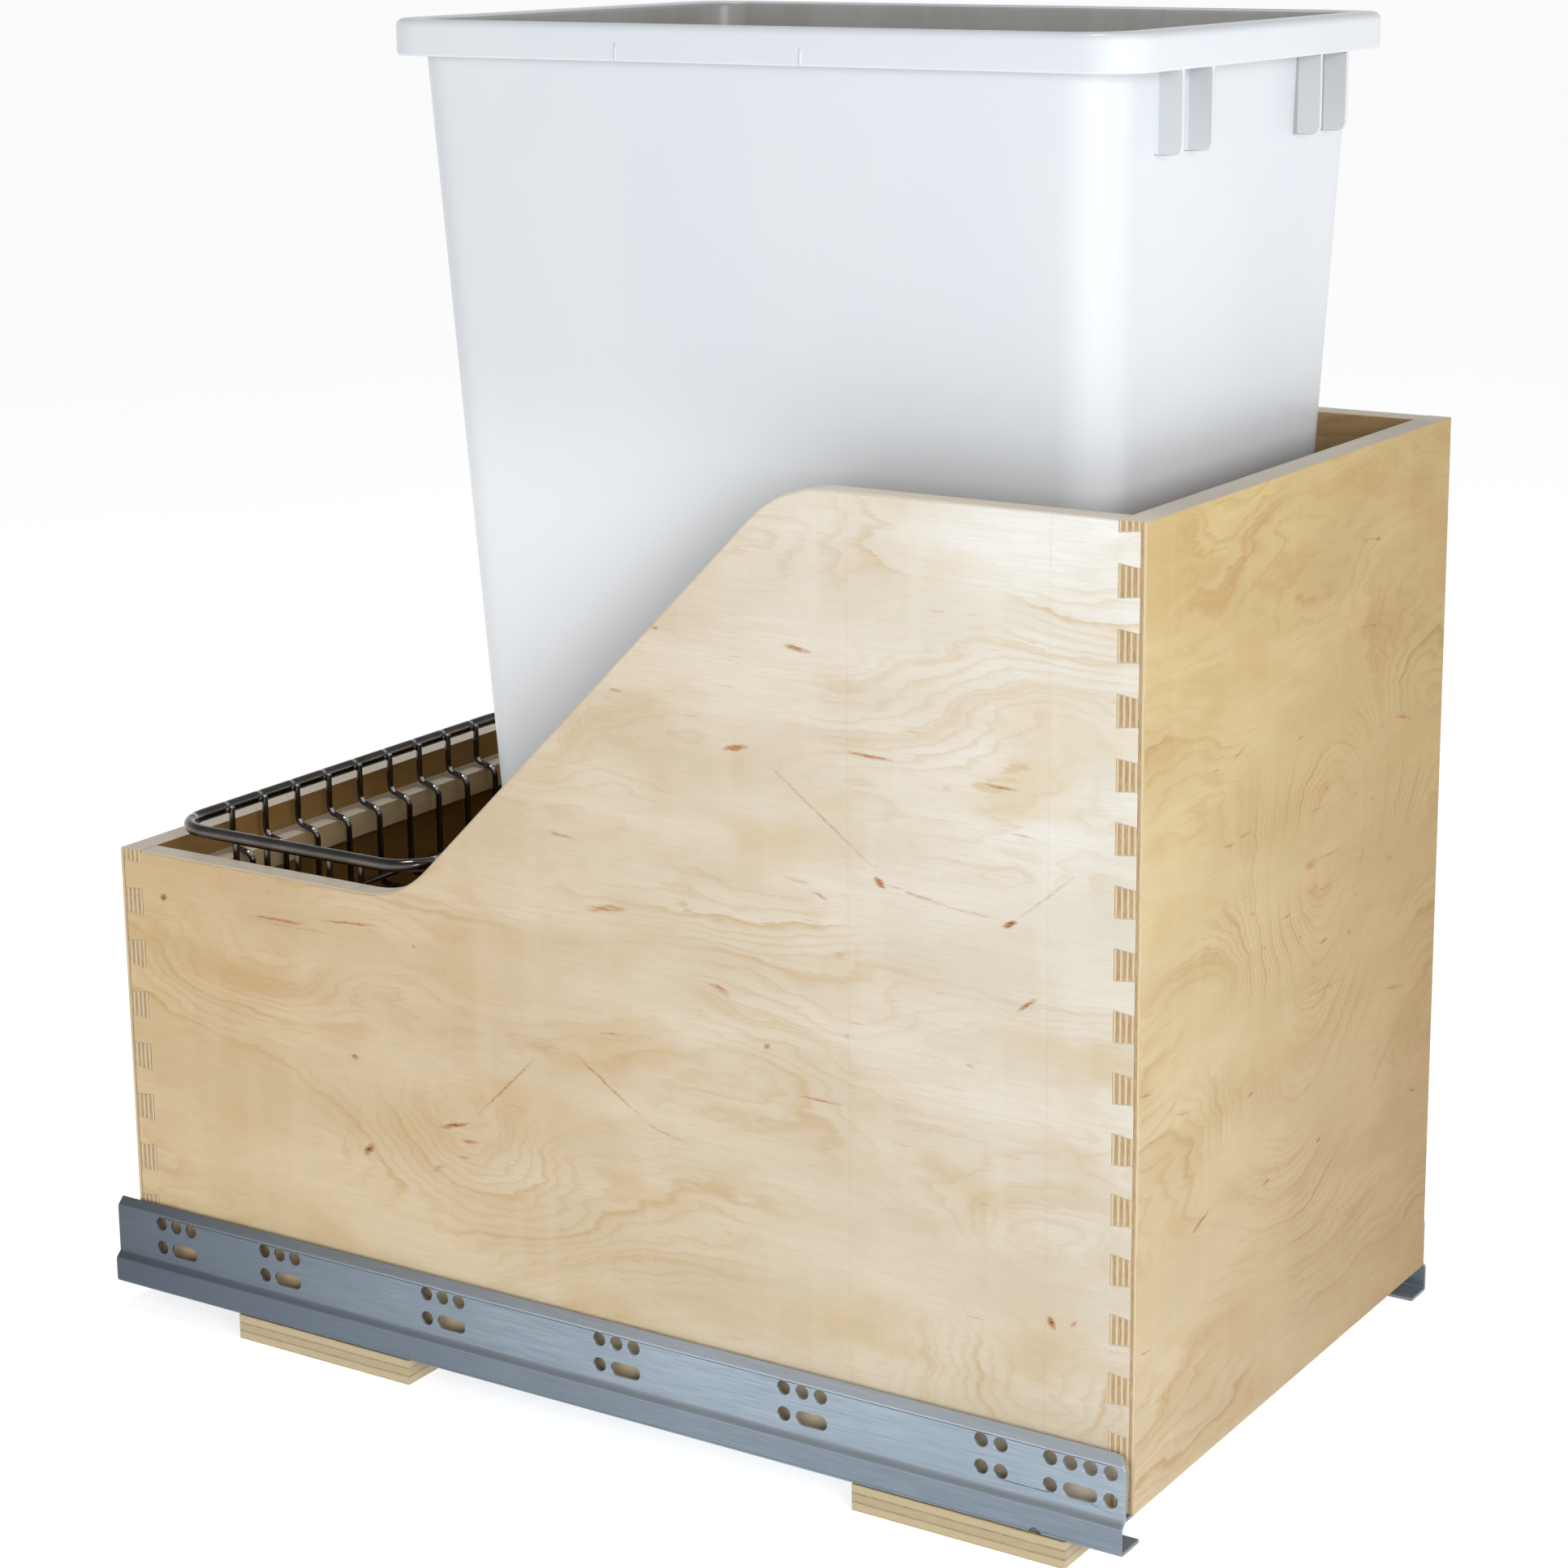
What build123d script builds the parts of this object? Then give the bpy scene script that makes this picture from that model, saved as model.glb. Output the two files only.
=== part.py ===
"""Pull-out waste-bin unit for a base cabinet: plywood box, bin, wire basket and undermount slides.

Millimetres. +Z is up, the box's tall front panel faces -Y, and the drawer pulls out towards -Y.
The origin is on the floor, in the middle of the unit's plan. Most sizes are given as a depth behind
the front face, a height above the box's bottom edge, and x to the left (-) or right (+) of centre.
"""
import os

from build123d import *

os.makedirs("parts", exist_ok=True)

# ---- whole unit ------------------------------------------------------------------------------
UNIT_LENGTH = 543.5             # front face of the box to the rear end of the slides
BOX_BOTTOM = 27.6               # the box's bottom edge above the floor
FRONT = -UNIT_LENGTH / 2        # y of the box's front face

# ---- plywood box -----------------------------------------------------------------------------
BOX_WIDTH = 297.0
BOX_LENGTH = 533.4
TALL_HEIGHT = 404.0
LOW_HEIGHT = 200.5
PLY = 12.0
SLOPE_HEAD = 164.2              # depth where the 45 degree slope leaves the tall top edge
SLOPE_RADIUS = 50.0
EASED_EDGE = 0.8
INNER_X = BOX_WIDTH / 2 - PLY
REAR_INNER = BOX_LENGTH - PLY
GROOVE = 6.0                    # how far the bottom panel enters its grooves
BOTTOM_RECESS = 12.7            # bottom panel's underside above the box's bottom edge
FLOOR_TOP = BOTTOM_RECESS + PLY

# ---- half-blind dovetails --------------------------------------------------------------------
FRONT_LAP = 2.6
REAR_LAP = 1.7
FRONT_PITCH, FRONT_FIRST, FRONT_PINS = 25.25, 405.8, 17
REAR_PITCH, REAR_FIRST, REAR_PINS = 25.4, 201.0, 9
PIN_BASE = 13.3                 # pin height at the baseline
PIN_TIP = 11.0                  # pin height at the lap

# ---- cross boards ----------------------------------------------------------------------------
BOARD_WIDTH = 101.6
BOARD_HALF = 156.0
BOARD_DEPTHS = {"front": 27.0, "rear": 365.4}
FIXING_X = 90.0                 # screw holes to the cabinet floor, from the middle
FIXING_RADIUS = 2.5

# ---- slides ----------------------------------------------------------------------------------
SHEET = 1.5
FLANGE_X = 153.5                # outer face of the upper side flange
STEP_OUT = 3.0                  # how far the lower wall stands outside the flange
STEP_HEIGHT = -0.8
FLANGE_TOP = 26.2
LIP = 3.5                       # the flange's top edge leans in by this much
WEB_BOTTOM = -15.6
TRACK_X = 108.0                 # inner face of the fixed track
TRACK_TOP = -3.0
MEMBER_START, MEMBER_END = 1.6, UNIT_LENGTH
CORNER_RADIUS = 7.5             # the flange's top front corner
NOTCH_DEPTH, NOTCH_RADIUS = 41.0, 3.0   # drain notch at the foot of the lower wall
NOSE_LENGTH, NOSE_X = 14.0, 140.5   # in front of the track the web is this narrow
TUBE_X = (116.0, 131.0)         # middle member
TUBE_HEIGHTS = (-9.0, 4.5)
TUBE_DEPTHS = (15.0, 531.0)
RAIL_X = (112.6, 134.4)         # drawer member
RAIL_HEIGHTS = (-6.0, 12.6)
RAIL_DEPTHS = (14.0, 536.0)
ROLLER_GAP = 0.1
SYSTEM = 32.0                   # cabinet hole system
FIRST_HOLE = 35.7
SYSTEM_STEPS = (0, 1, 4, 7, 10, 13, 15)
HOLE_RADIUS = 3.25
HOLE_PITCH = 9.18
UPPER_ROW, LOWER_ROW = 18.3, 6.4
SLOT_LENGTH = 15.6
SCREW_X = 147.0                 # member-to-board screws
SCREW_HEAD_RADIUS, SCREW_HEAD, SCREW_RADIUS, SCREW_LENGTH = 4.0, 1.6, 2.0, 11.0

# ---- rear hooks ------------------------------------------------------------------------------
HOOK_X, HOOK_HEIGHT = 119.0, 18.0
HOOK_RADIUS = 2.5
HOOK_PIN = 5.0                  # how far the pin enters the rear panel

# ---- bin -------------------------------------------------------------------------------------
BIN_DEPTH = 201.9               # centre of the bin behind the front face
BIN_TOP = 582.4
RIM_HEIGHT = 15.4
RIM_HALF = (180.0, 124.0)       # half length (along y), half width
RIM_RADIUS = 20.0
BODY_TOP_HALF = (168.5, 119.5)
BODY_FOOT_HALF = (148.8, 82.7)
BODY_RADIUS = 20.0
BIN_WALL = 2.4
GUSSET_X = (51.0, 77.0)
GUSSET_FOOT = 534.0
GUSSET_THICKNESS = 2.4

# ---- basket ----------------------------------------------------------------------------------
BASKET_DEPTHS = (370.0, 517.5)  # centre lines of the top frame
BASKET_HALF = 131.5
FRAME_HEIGHT = 209.0
FRAME_RADIUS = 3.0
FRAME_CORNER = 22.0
WIRE_RADIUS = 1.5
WIRE_BEND = 4.5
WIRE_INSET = 4.4                # wires hang this far inside the frame's centre line
STEP_IN = 11.8                  # the long walls step in to rest on the ledges
STEP_HEIGHTS = (190.6, 188.2)
BASKET_FLOOR = 150.0
CROSS_PITCH, CROSS_COUNT = 23.5, 9
LONG_PITCH, LONG_COUNT = 18.7, 5
LEDGE_DEPTH, LEDGE_HEIGHT, LEDGE_TOP = 13.7, 12.0, 187.5
LEDGE_DADO = 4.0

# ---- front locking devices -------------------------------------------------------------------
LOCK_X = (86.0, 110.4)
LOCK_DEPTHS = (14.0, 64.0)
LOCK_FOOT = 1.2
LEVER_X, LEVER_DEPTH = 98.0, 38.0
WHEEL_DEPTH, WHEEL_RADIUS = 55.0, 7.0
UNDER_TOP, UNDER_FOOT = 0.8, -2.2   # levers and wheels hang between these heights
PIVOT_RADIUS = 1.5
RUNNING_GAP = 0.05


# ---- helpers ---------------------------------------------------------------------------------
def block(x0, x1, depth0, depth1, height0, height1):
    """A box between two x values, two depths and two heights."""
    centre = ((x0 + x1) / 2, FRONT + (depth0 + depth1) / 2, BOX_BOTTOM + (height0 + height1) / 2)
    return Pos(*centre) * Box(x1 - x0, depth1 - depth0, height1 - height0)


def rod_x(x0, x1, depth, height, radius):
    """A cylinder along x."""
    centre = Pos((x0 + x1) / 2, FRONT + depth, BOX_BOTTOM + height)
    return centre * Rot(0, 90, 0) * Cylinder(radius, x1 - x0)


def rod_y(x, depth0, depth1, height, radius):
    """A cylinder along y."""
    centre = Pos(x, FRONT + (depth0 + depth1) / 2, BOX_BOTTOM + height)
    return centre * Rot(90, 0, 0) * Cylinder(radius, depth1 - depth0)


def rod_z(x, depth, height0, height1, radius):
    """A cylinder along z."""
    centre = Pos(x, FRONT + depth, BOX_BOTTOM + (height0 + height1) / 2)
    return centre * Cylinder(radius, height1 - height0)


def side_plate(face, x0, x1):
    """A face drawn as (depth, height), extruded from x0 to x1."""
    placed = Plane.YZ.offset(x0) * (Pos(FRONT, BOX_BOTTOM) * face)
    return extrude(placed, amount=x1 - x0, dir=(1, 0, 0))


def section(face, depth0, depth1):
    """A face drawn as (x, height), extruded from one depth to another."""
    plane = Plane(origin=(0, FRONT + depth0, BOX_BOTTOM), x_dir=(1, 0, 0), z_dir=(0, -1, 0))
    return extrude(plane * face, amount=depth1 - depth0, dir=(0, 1, 0))


def left_of(shape):
    """The mirror image on the left side."""
    return mirror(shape, about=Plane.YZ)


def group(*shapes):
    """Separate solids kept together in one node."""
    return Compound(children=[solid for shape in shapes for solid in shape.solids()])


def save(name, shape):
    shape.label = name
    export_step(shape, f"parts/{name}.step")


def save_pair(name, right):
    save(f"{name}_right", right)
    save(f"{name}_left", left_of(right))


# ---- plywood box -----------------------------------------------------------------------------
def pins(first, pitch, count, baseline, tip, board_height):
    """Pin outlines, as (depth, height), at one corner of the box."""
    faces = Sketch()
    for k in range(count):
        middle = first - pitch * k
        base, end = PIN_BASE / 2, PIN_TIP / 2
        corners = [(baseline, middle - base), (baseline, middle + base), (tip, middle + end), (tip, middle - end)]
        faces += make_face(Polyline(*corners, close=True))
    low, high = sorted((baseline, tip))
    return faces & (Pos((low + high) / 2, board_height / 2) * Rectangle(high - low, board_height))


def front_pins():
    return pins(FRONT_FIRST, FRONT_PITCH, FRONT_PINS, PLY, FRONT_LAP, TALL_HEIGHT)


def rear_pins():
    return pins(REAR_FIRST, REAR_PITCH, REAR_PINS, REAR_INNER, BOX_LENGTH - REAR_LAP, LOW_HEIGHT)


def bottom_panel():
    half = INNER_X + GROOVE
    return block(-half, half, PLY - GROOVE, REAR_INNER + GROOVE, BOTTOM_RECESS, FLOOR_TOP)


def side_panel():
    """The right side: low at the rear, tall at the front, with a 45 degree slope between."""
    slope_foot = SLOPE_HEAD + TALL_HEIGHT - LOW_HEIGHT
    ends = (FRONT_LAP, BOX_LENGTH - REAR_LAP)
    foot, head = (slope_foot, LOW_HEIGHT), (SLOPE_HEAD, TALL_HEIGHT)
    outline = [(ends[0], 0), (ends[1], 0), (ends[1], LOW_HEIGHT), foot, head, (ends[0], TALL_HEIGHT)]
    face = make_face(Polyline(*outline, close=True))
    bends = [v for v in face.vertices() for x, y in (foot, head) if abs(v.X - x) + abs(v.Y - y) < 0.1]
    face = fillet(bends, SLOPE_RADIUS)
    plate = side_plate(face, INNER_X, BOX_WIDTH / 2)
    above = [e for e in plate.edges() if e.center().Z > BOX_BOTTOM + LOW_HEIGHT - 1]
    plate = chamfer([e for e in above if abs(e.tangent_at(0.5).Y) > 0.1], EASED_EDGE)
    plate -= side_plate(front_pins() + rear_pins(), INNER_X - 1, BOX_WIDTH / 2 + 1)
    plate -= bottom_panel()
    dado = block(0, INNER_X + LEDGE_DADO, *front_ledge_depths(), LEDGE_TOP - LEDGE_HEIGHT, LEDGE_TOP)
    return plate - dado


def end_panel(depths, lap_depths, height, pin_face):
    """A front or rear panel: a lap over the full width, a core between the sides, and the pins."""
    lap = block(-BOX_WIDTH / 2, BOX_WIDTH / 2, *lap_depths, 0, height)
    core = block(-INNER_X, INNER_X, *depths, 0, height)
    right = side_plate(pin_face, INNER_X, BOX_WIDTH / 2)
    return lap + core + right + left_of(right) - bottom_panel()


def front_panel():
    return end_panel((FRONT_LAP, PLY), (0, FRONT_LAP), TALL_HEIGHT, front_pins())


def rear_panel():
    """The low rear panel, notched over the slides and bored for the rear hooks."""
    lap = (BOX_LENGTH - REAR_LAP, BOX_LENGTH)
    panel = end_panel((REAR_INNER, lap[0]), lap, LOW_HEIGHT, rear_pins())
    for side in (-1, 1):
        x0, x1 = sorted((side * (TRACK_X - 5), side * INNER_X))
        panel -= block(x0, x1, REAR_INNER - 1, BOX_LENGTH + 1, -1, BOTTOM_RECESS)
        panel -= rod_y(side * HOOK_X, BOX_LENGTH - HOOK_PIN, BOX_LENGTH + 1, HOOK_HEIGHT, HOOK_RADIUS)
    return panel


def front_ledge_depths():
    middle = sum(BASKET_DEPTHS) / 2
    rear = 2 * middle - (REAR_INNER - LEDGE_DEPTH)
    return rear - LEDGE_DEPTH, rear


def ledges():
    """Plywood strips that the basket's long walls rest on."""
    heights = (LEDGE_TOP - LEDGE_HEIGHT, LEDGE_TOP)
    front_half = INNER_X + LEDGE_DADO
    front = block(-front_half, front_half, *front_ledge_depths(), *heights)
    rear = block(-INNER_X, INNER_X, REAR_INNER - LEDGE_DEPTH, REAR_INNER, *heights)
    return front, rear


# ---- cross boards ----------------------------------------------------------------------------
def screw_depths():
    """Depths of the screws from the slides into the boards, two to a board."""
    return [start + offset for start in BOARD_DEPTHS.values() for offset in (15.0, BOARD_WIDTH - 15.0)]


def cross_board(start):
    board = block(-BOARD_HALF, BOARD_HALF, start, start + BOARD_WIDTH, -BOX_BOTTOM, WEB_BOTTOM)
    middle = start + BOARD_WIDTH / 2
    for side in (-1, 1):
        board -= rod_z(side * FIXING_X, middle, -BOX_BOTTOM - 1, WEB_BOTTOM + 1, FIXING_RADIUS)
        for depth in screw_depths():
            board -= rod_z(side * SCREW_X, depth, WEB_BOTTOM - SCREW_LENGTH, WEB_BOTTOM + 1, SCREW_RADIUS)
    return board


def base_screw(side, depth):
    """A pan-head screw through the slide's web into a cross board."""
    web_top = WEB_BOTTOM + SHEET
    shank = rod_z(side * SCREW_X, depth, WEB_BOTTOM - SCREW_LENGTH, web_top, SCREW_RADIUS)
    head = rod_z(side * SCREW_X, depth, web_top, web_top + SCREW_HEAD, SCREW_HEAD_RADIUS)
    return shank + head


# ---- slides ----------------------------------------------------------------------------------
def flange_holes():
    """Groups of round and slotted holes on the 32 mm system, as (depth, height)."""
    holes = Sketch()
    for index, steps in enumerate(SYSTEM_STEPS):
        lead = FIRST_HOLE + SYSTEM * steps
        upper = {0: 4, 1: 2}.get(index, 3)
        lower = {0: (0, 3), 1: (0, 1)}.get(index, (0,))
        for k in range(upper):
            holes += Pos(lead - HOLE_PITCH * k, UPPER_ROW) * Circle(HOLE_RADIUS)
        for k in lower:
            holes += Pos(lead - HOLE_PITCH * k, LOWER_ROW) * Circle(HOLE_RADIUS)
        if index != 1:
            slot = SlotOverall(SLOT_LENGTH, 2 * HOLE_RADIUS)
            holes += Pos(lead - HOLE_PITCH * 1.5, LOWER_ROW) * slot
    return holes


def cabinet_member():
    """The fixed member: perforated side flange, stepped lower wall, web and inner track, in one sheet."""
    half = SHEET / 2
    flange = FLANGE_X - half
    wall = flange + STEP_OUT
    bend = 1.2
    middle_line = [(flange - LIP, FLANGE_TOP - half), (flange, FLANGE_TOP - half - LIP),
                   (flange, STEP_HEIGHT), (wall, STEP_HEIGHT - STEP_OUT), (wall, WEB_BOTTOM + half),
                   (TRACK_X + half, WEB_BOTTOM + half), (TRACK_X + half, TRACK_TOP)]
    profile = trace(FilletPolyline(*middle_line, radius=bend), line_width=SHEET)
    member = section(profile, MEMBER_START, MEMBER_END)
    member -= side_plate(flange_holes(), FLANGE_X - 3, FLANGE_X + 3)
    for depth in screw_depths():
        member -= rod_z(SCREW_X, depth, WEB_BOTTOM - 1, WEB_BOTTOM + SHEET + 1, SCREW_RADIUS)
    size = CORNER_RADIUS
    corner = Pos(MEMBER_START + size / 2, FLANGE_TOP - size / 2) * Rectangle(size, size)
    corner -= Pos(MEMBER_START + size, FLANGE_TOP - size) * Circle(size)
    member -= side_plate(corner, FLANGE_X - 10, FLANGE_X + 3)
    notch = Pos(NOTCH_DEPTH, WEB_BOTTOM) * Circle(NOTCH_RADIUS)
    member -= side_plate(notch, wall - SHEET, wall + SHEET)
    return member - block(TRACK_X - 1, NOSE_X, 0, NOSE_LENGTH, WEB_BOTTOM - 1, TRACK_TOP + 1)


def middle_member():
    """A closed tube section between the two roller cages."""
    def rectangle(inset):
        width = TUBE_X[1] - TUBE_X[0] - 2 * inset
        height = TUBE_HEIGHTS[1] - TUBE_HEIGHTS[0] - 2 * inset
        return Pos(sum(TUBE_X) / 2, sum(TUBE_HEIGHTS) / 2) * RectangleRounded(width, height, 2.2 - inset)
    return section(rectangle(0) - rectangle(SHEET), *TUBE_DEPTHS)


def drawer_member():
    """The inverted U that the box rests on."""
    half = SHEET / 2
    left, right = RAIL_X[0] + half, RAIL_X[1] - half
    foot, top = RAIL_HEIGHTS[0], RAIL_HEIGHTS[1] - half
    line = FilletPolyline((left, foot), (left, top), (right, top), (right, foot), radius=1.2)
    return section(trace(line, line_width=SHEET), *RAIL_DEPTHS)


def roller_set(centre_depth, bottom, top, count, pitch, strip):
    """A cage strip with its rollers, between two flat tracks."""
    radius = (top - bottom) / 2 - ROLLER_GAP
    x0, x1 = TUBE_X[0] + 1.5, TUBE_X[1] - 1.5
    middle = (top + bottom) / 2
    half_length = pitch * count / 2 + 4
    cage = block(TUBE_X[0], TUBE_X[1], centre_depth - half_length, centre_depth + half_length,
                 middle - strip / 2, middle + strip / 2)
    rollers = []
    for k in range(count):
        depth = centre_depth + pitch * (k - (count - 1) / 2)
        cage -= block(x0 - 0.3, x1 + 0.3, depth - radius - 0.3, depth + radius + 0.3,
                      middle - strip, middle + strip)
        rollers.append(rod_x(x0, x1, depth, middle, radius))
    return cage, rollers


# ---- rear hooks ------------------------------------------------------------------------------
def rear_hook():
    """A plate behind the rear panel, with a pin that enters the panel, on the end of the drawer member."""
    face = BOX_LENGTH + 0.3
    plate = block(HOOK_X - 5, HOOK_X + 9, face, face + SHEET, RAIL_HEIGHTS[1], HOOK_HEIGHT + 5)
    pin = rod_y(HOOK_X, BOX_LENGTH - HOOK_PIN, face + SHEET, HOOK_HEIGHT, HOOK_RADIUS)
    return plate + pin


# ---- front locking devices -------------------------------------------------------------------
def lock_housing():
    """A plastic block under the bottom panel, with pivots for the lever and the wheel."""
    housing = block(*LOCK_X, *LOCK_DEPTHS, LOCK_FOOT, BOTTOM_RECESS)
    uprights = [e for e in housing.edges() if abs(e.tangent_at(0.5).Z) > 0.9]
    housing = fillet(uprights, 2.0)
    for depth in (LEVER_DEPTH, WHEEL_DEPTH):
        housing -= rod_z(LEVER_X, depth, LOCK_FOOT - 1, LOCK_FOOT + 4, PIVOT_RADIUS)
    return housing


def pivot_pin(depth):
    """A headed pin that a lever or wheel turns on."""
    shank = rod_z(LEVER_X, depth, UNDER_FOOT - 0.3, LOCK_FOOT + 4, PIVOT_RADIUS)
    return shank + rod_z(LEVER_X, depth, UNDER_FOOT - 1.0, UNDER_FOOT - 0.3, PIVOT_RADIUS + 1.2)


def release_lever():
    """A flat lever that unhooks the drawer member; its finger tab points forward."""
    arm = block(LEVER_X - 5, LEVER_X + 5, LOCK_DEPTHS[0] + 1, LEVER_DEPTH, UNDER_FOOT, UNDER_TOP)
    arm += rod_z(LEVER_X, LEVER_DEPTH, UNDER_FOOT, UNDER_TOP, 6.0)
    arm += block(LEVER_X - 8, LEVER_X + 8, LOCK_DEPTHS[0] + 1, LOCK_DEPTHS[0] + 6, UNDER_FOOT, UNDER_TOP)
    return arm - rod_z(LEVER_X, LEVER_DEPTH, UNDER_FOOT - 1, UNDER_TOP + 1, PIVOT_RADIUS + RUNNING_GAP)


def height_wheel():
    """A notched thumb wheel that sets the box's height on the slide."""
    wheel = rod_z(LEVER_X, WHEEL_DEPTH, UNDER_FOOT, UNDER_TOP, WHEEL_RADIUS)
    centre = Pos(LEVER_X, FRONT + WHEEL_DEPTH, BOX_BOTTOM + (UNDER_TOP + UNDER_FOOT) / 2)
    for place in PolarLocations(WHEEL_RADIUS + 0.4, 12):
        wheel -= centre * place * Cylinder(1.0, 8)
    return wheel - rod_z(LEVER_X, WHEEL_DEPTH, UNDER_FOOT - 1, UNDER_TOP + 1, PIVOT_RADIUS + RUNNING_GAP)


# ---- bin -------------------------------------------------------------------------------------
def bin_outline(half, radius, height):
    """A rounded rectangle at a height above the box's bottom edge."""
    centre = Pos(0, FRONT + BIN_DEPTH, BOX_BOTTOM + height)
    return centre * RectangleRounded(2 * half[1], 2 * half[0], radius)


def tapered(inset, foot, top):
    """The bin body's taper between two heights, inset from the outside."""
    def half_at(height):
        part = (height - FLOOR_TOP) / (BIN_TOP - FLOOR_TOP)
        return [low + (high - low) * part - inset for low, high in zip(BODY_FOOT_HALF, BODY_TOP_HALF)]
    radius = BODY_RADIUS - inset
    return loft([bin_outline(half_at(foot), radius, foot), bin_outline(half_at(top), radius, top)])


def rim_block(inset, foot, top):
    half = [size - inset for size in RIM_HALF]
    return extrude(bin_outline(half, RIM_RADIUS - inset, foot), amount=top - foot)


def waste_bin():
    """A tapered shell with a turned-down rim and gussets under the rim of its short sides."""
    rim_foot = BIN_TOP - RIM_HEIGHT
    rim_under = BIN_TOP - BIN_WALL
    outside = tapered(0, FLOOR_TOP, BIN_TOP)
    shell = outside + rim_block(0, rim_foot, BIN_TOP) - rim_block(BIN_WALL, rim_foot - 1, rim_under)
    shell += tapered(0, FLOOR_TOP, rim_under)
    front, rear = BIN_DEPTH - RIM_HALF[0] + 1, BIN_DEPTH + RIM_HALF[0] - 1
    for x in (*GUSSET_X, *(-x for x in GUSSET_X)):
        span = (x - GUSSET_THICKNESS / 2, x + GUSSET_THICKNESS / 2)
        shell += block(*span, front, BIN_DEPTH - BODY_FOOT_HALF[0], GUSSET_FOOT, rim_under)
        shell += block(*span, BIN_DEPTH + BODY_FOOT_HALF[0], rear, GUSSET_FOOT, rim_under)
    return shell - tapered(BIN_WALL, FLOOR_TOP + BIN_WALL, BIN_TOP + 1)


# ---- basket ----------------------------------------------------------------------------------
def wire(points, radius, bend):
    """A round wire along points given as (x, depth, height)."""
    places = [(x, FRONT + depth, BOX_BOTTOM + height) for x, depth, height in points]
    path = FilletPolyline(*places, radius=bend) if len(points) > 2 else Line(*places)
    start = Plane(origin=path @ 0, z_dir=path % 0)
    return sweep(start * Circle(radius), path=path)


def top_frame():
    """The basket's top ring, as four straight rods and four corners that meet face to face."""
    (front, rear), half, turn = BASKET_DEPTHS, BASKET_HALF, FRAME_CORNER
    pieces = []
    for x in (-half, half):
        pieces.append(rod_y(x, front + turn, rear - turn, FRAME_HEIGHT, FRAME_RADIUS))
    for depth in (front, rear):
        pieces.append(rod_x(-half + turn, half - turn, depth, FRAME_HEIGHT, FRAME_RADIUS))
    middle = sum(BASKET_DEPTHS) / 2
    for x_side in (-1, 1):
        for y_side in (-1, 1):
            centre = (x_side * (half - turn), FRONT + middle + y_side * ((rear - front) / 2 - turn))
            start = {(1, 1): 0, (-1, 1): 90, (-1, -1): 180, (1, -1): 270}[(x_side, y_side)]
            arc = Pos(*centre, BOX_BOTTOM + FRAME_HEIGHT) * CenterArc((0, 0), turn, start, 90)
            pieces.append(sweep(Plane(origin=arc @ 0, z_dir=arc % 0) * Circle(FRAME_RADIUS), path=arc))
    return group(*pieces)


def cross_wire(x):
    """One wire over the front and rear walls: down, a step inward over the ledge, down, across the floor."""
    front, rear = BASKET_DEPTHS[0] + WIRE_INSET, BASKET_DEPTHS[1] - WIRE_INSET
    high, low = STEP_HEIGHTS
    half_path = [(rear, FRAME_HEIGHT), (rear, high), (rear - STEP_IN, low), (rear - STEP_IN, BASKET_FLOOR)]
    other = [(front + rear - depth, height) for depth, height in reversed(half_path)]
    return wire([(x, depth, height) for depth, height in half_path + other], WIRE_RADIUS, WIRE_BEND)


def long_wire(depth):
    """One wire over the left and right walls and along the floor, under the cross wires."""
    half = BASKET_HALF - WIRE_INSET
    floor = BASKET_FLOOR - 2 * WIRE_RADIUS + 0.2
    points = [(-half, depth, FRAME_HEIGHT), (-half, depth, floor), (half, depth, floor), (half, depth, FRAME_HEIGHT)]
    return wire(points, WIRE_RADIUS, WIRE_BEND)


def basket_wires():
    """The wires, parted at their bottom bends into four walls and a floor."""
    front, rear = BASKET_DEPTHS[0] + WIRE_INSET + STEP_IN, BASKET_DEPTHS[1] - WIRE_INSET - STEP_IN
    half = BASKET_HALF - WIRE_INSET
    top, foot = FRAME_HEIGHT + 10, BASKET_FLOOR - 10
    wide = BASKET_HALF + 10
    middle = (front + rear) / 2
    zones = {"front": block(-wide, wide, front - 30, front + WIRE_BEND, foot, top),
             "rear": block(-wide, wide, rear - WIRE_BEND, rear + 30, foot, top),
             "floor_cross": block(-wide, wide, front + WIRE_BEND, rear - WIRE_BEND, foot, top),
             "left": block(-wide, -half + WIRE_BEND, front - 30, rear + 30, foot, top),
             "right": block(half - WIRE_BEND, wide, front - 30, rear + 30, foot, top),
             "floor_long": block(-half + WIRE_BEND, half - WIRE_BEND, front - 30, rear + 30, foot, top)}
    cross = [cross_wire(CROSS_PITCH * (k - (CROSS_COUNT - 1) / 2)) for k in range(CROSS_COUNT)]
    along = [long_wire(middle + LONG_PITCH * (k - (LONG_COUNT - 1) / 2)) for k in range(LONG_COUNT)]
    walls = {name: [w & zones[name] for w in wires]
             for wires, names in ((cross, ("front", "rear", "floor_cross")), (along, ("left", "right", "floor_long")))
             for name in names}
    return walls


def lower_ring():
    """Two straight floor wires along the feet of the long walls."""
    front, rear = BASKET_DEPTHS[0] + WIRE_INSET + STEP_IN, BASKET_DEPTHS[1] - WIRE_INSET - STEP_IN
    half = CROSS_PITCH * (CROSS_COUNT - 1) / 2 + 6
    height = BASKET_FLOOR + WIRE_BEND
    inset = 2 * WIRE_RADIUS - 0.2
    return [rod_x(-half, half, depth, height, WIRE_RADIUS) for depth in (front + inset, rear - inset)]


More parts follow.
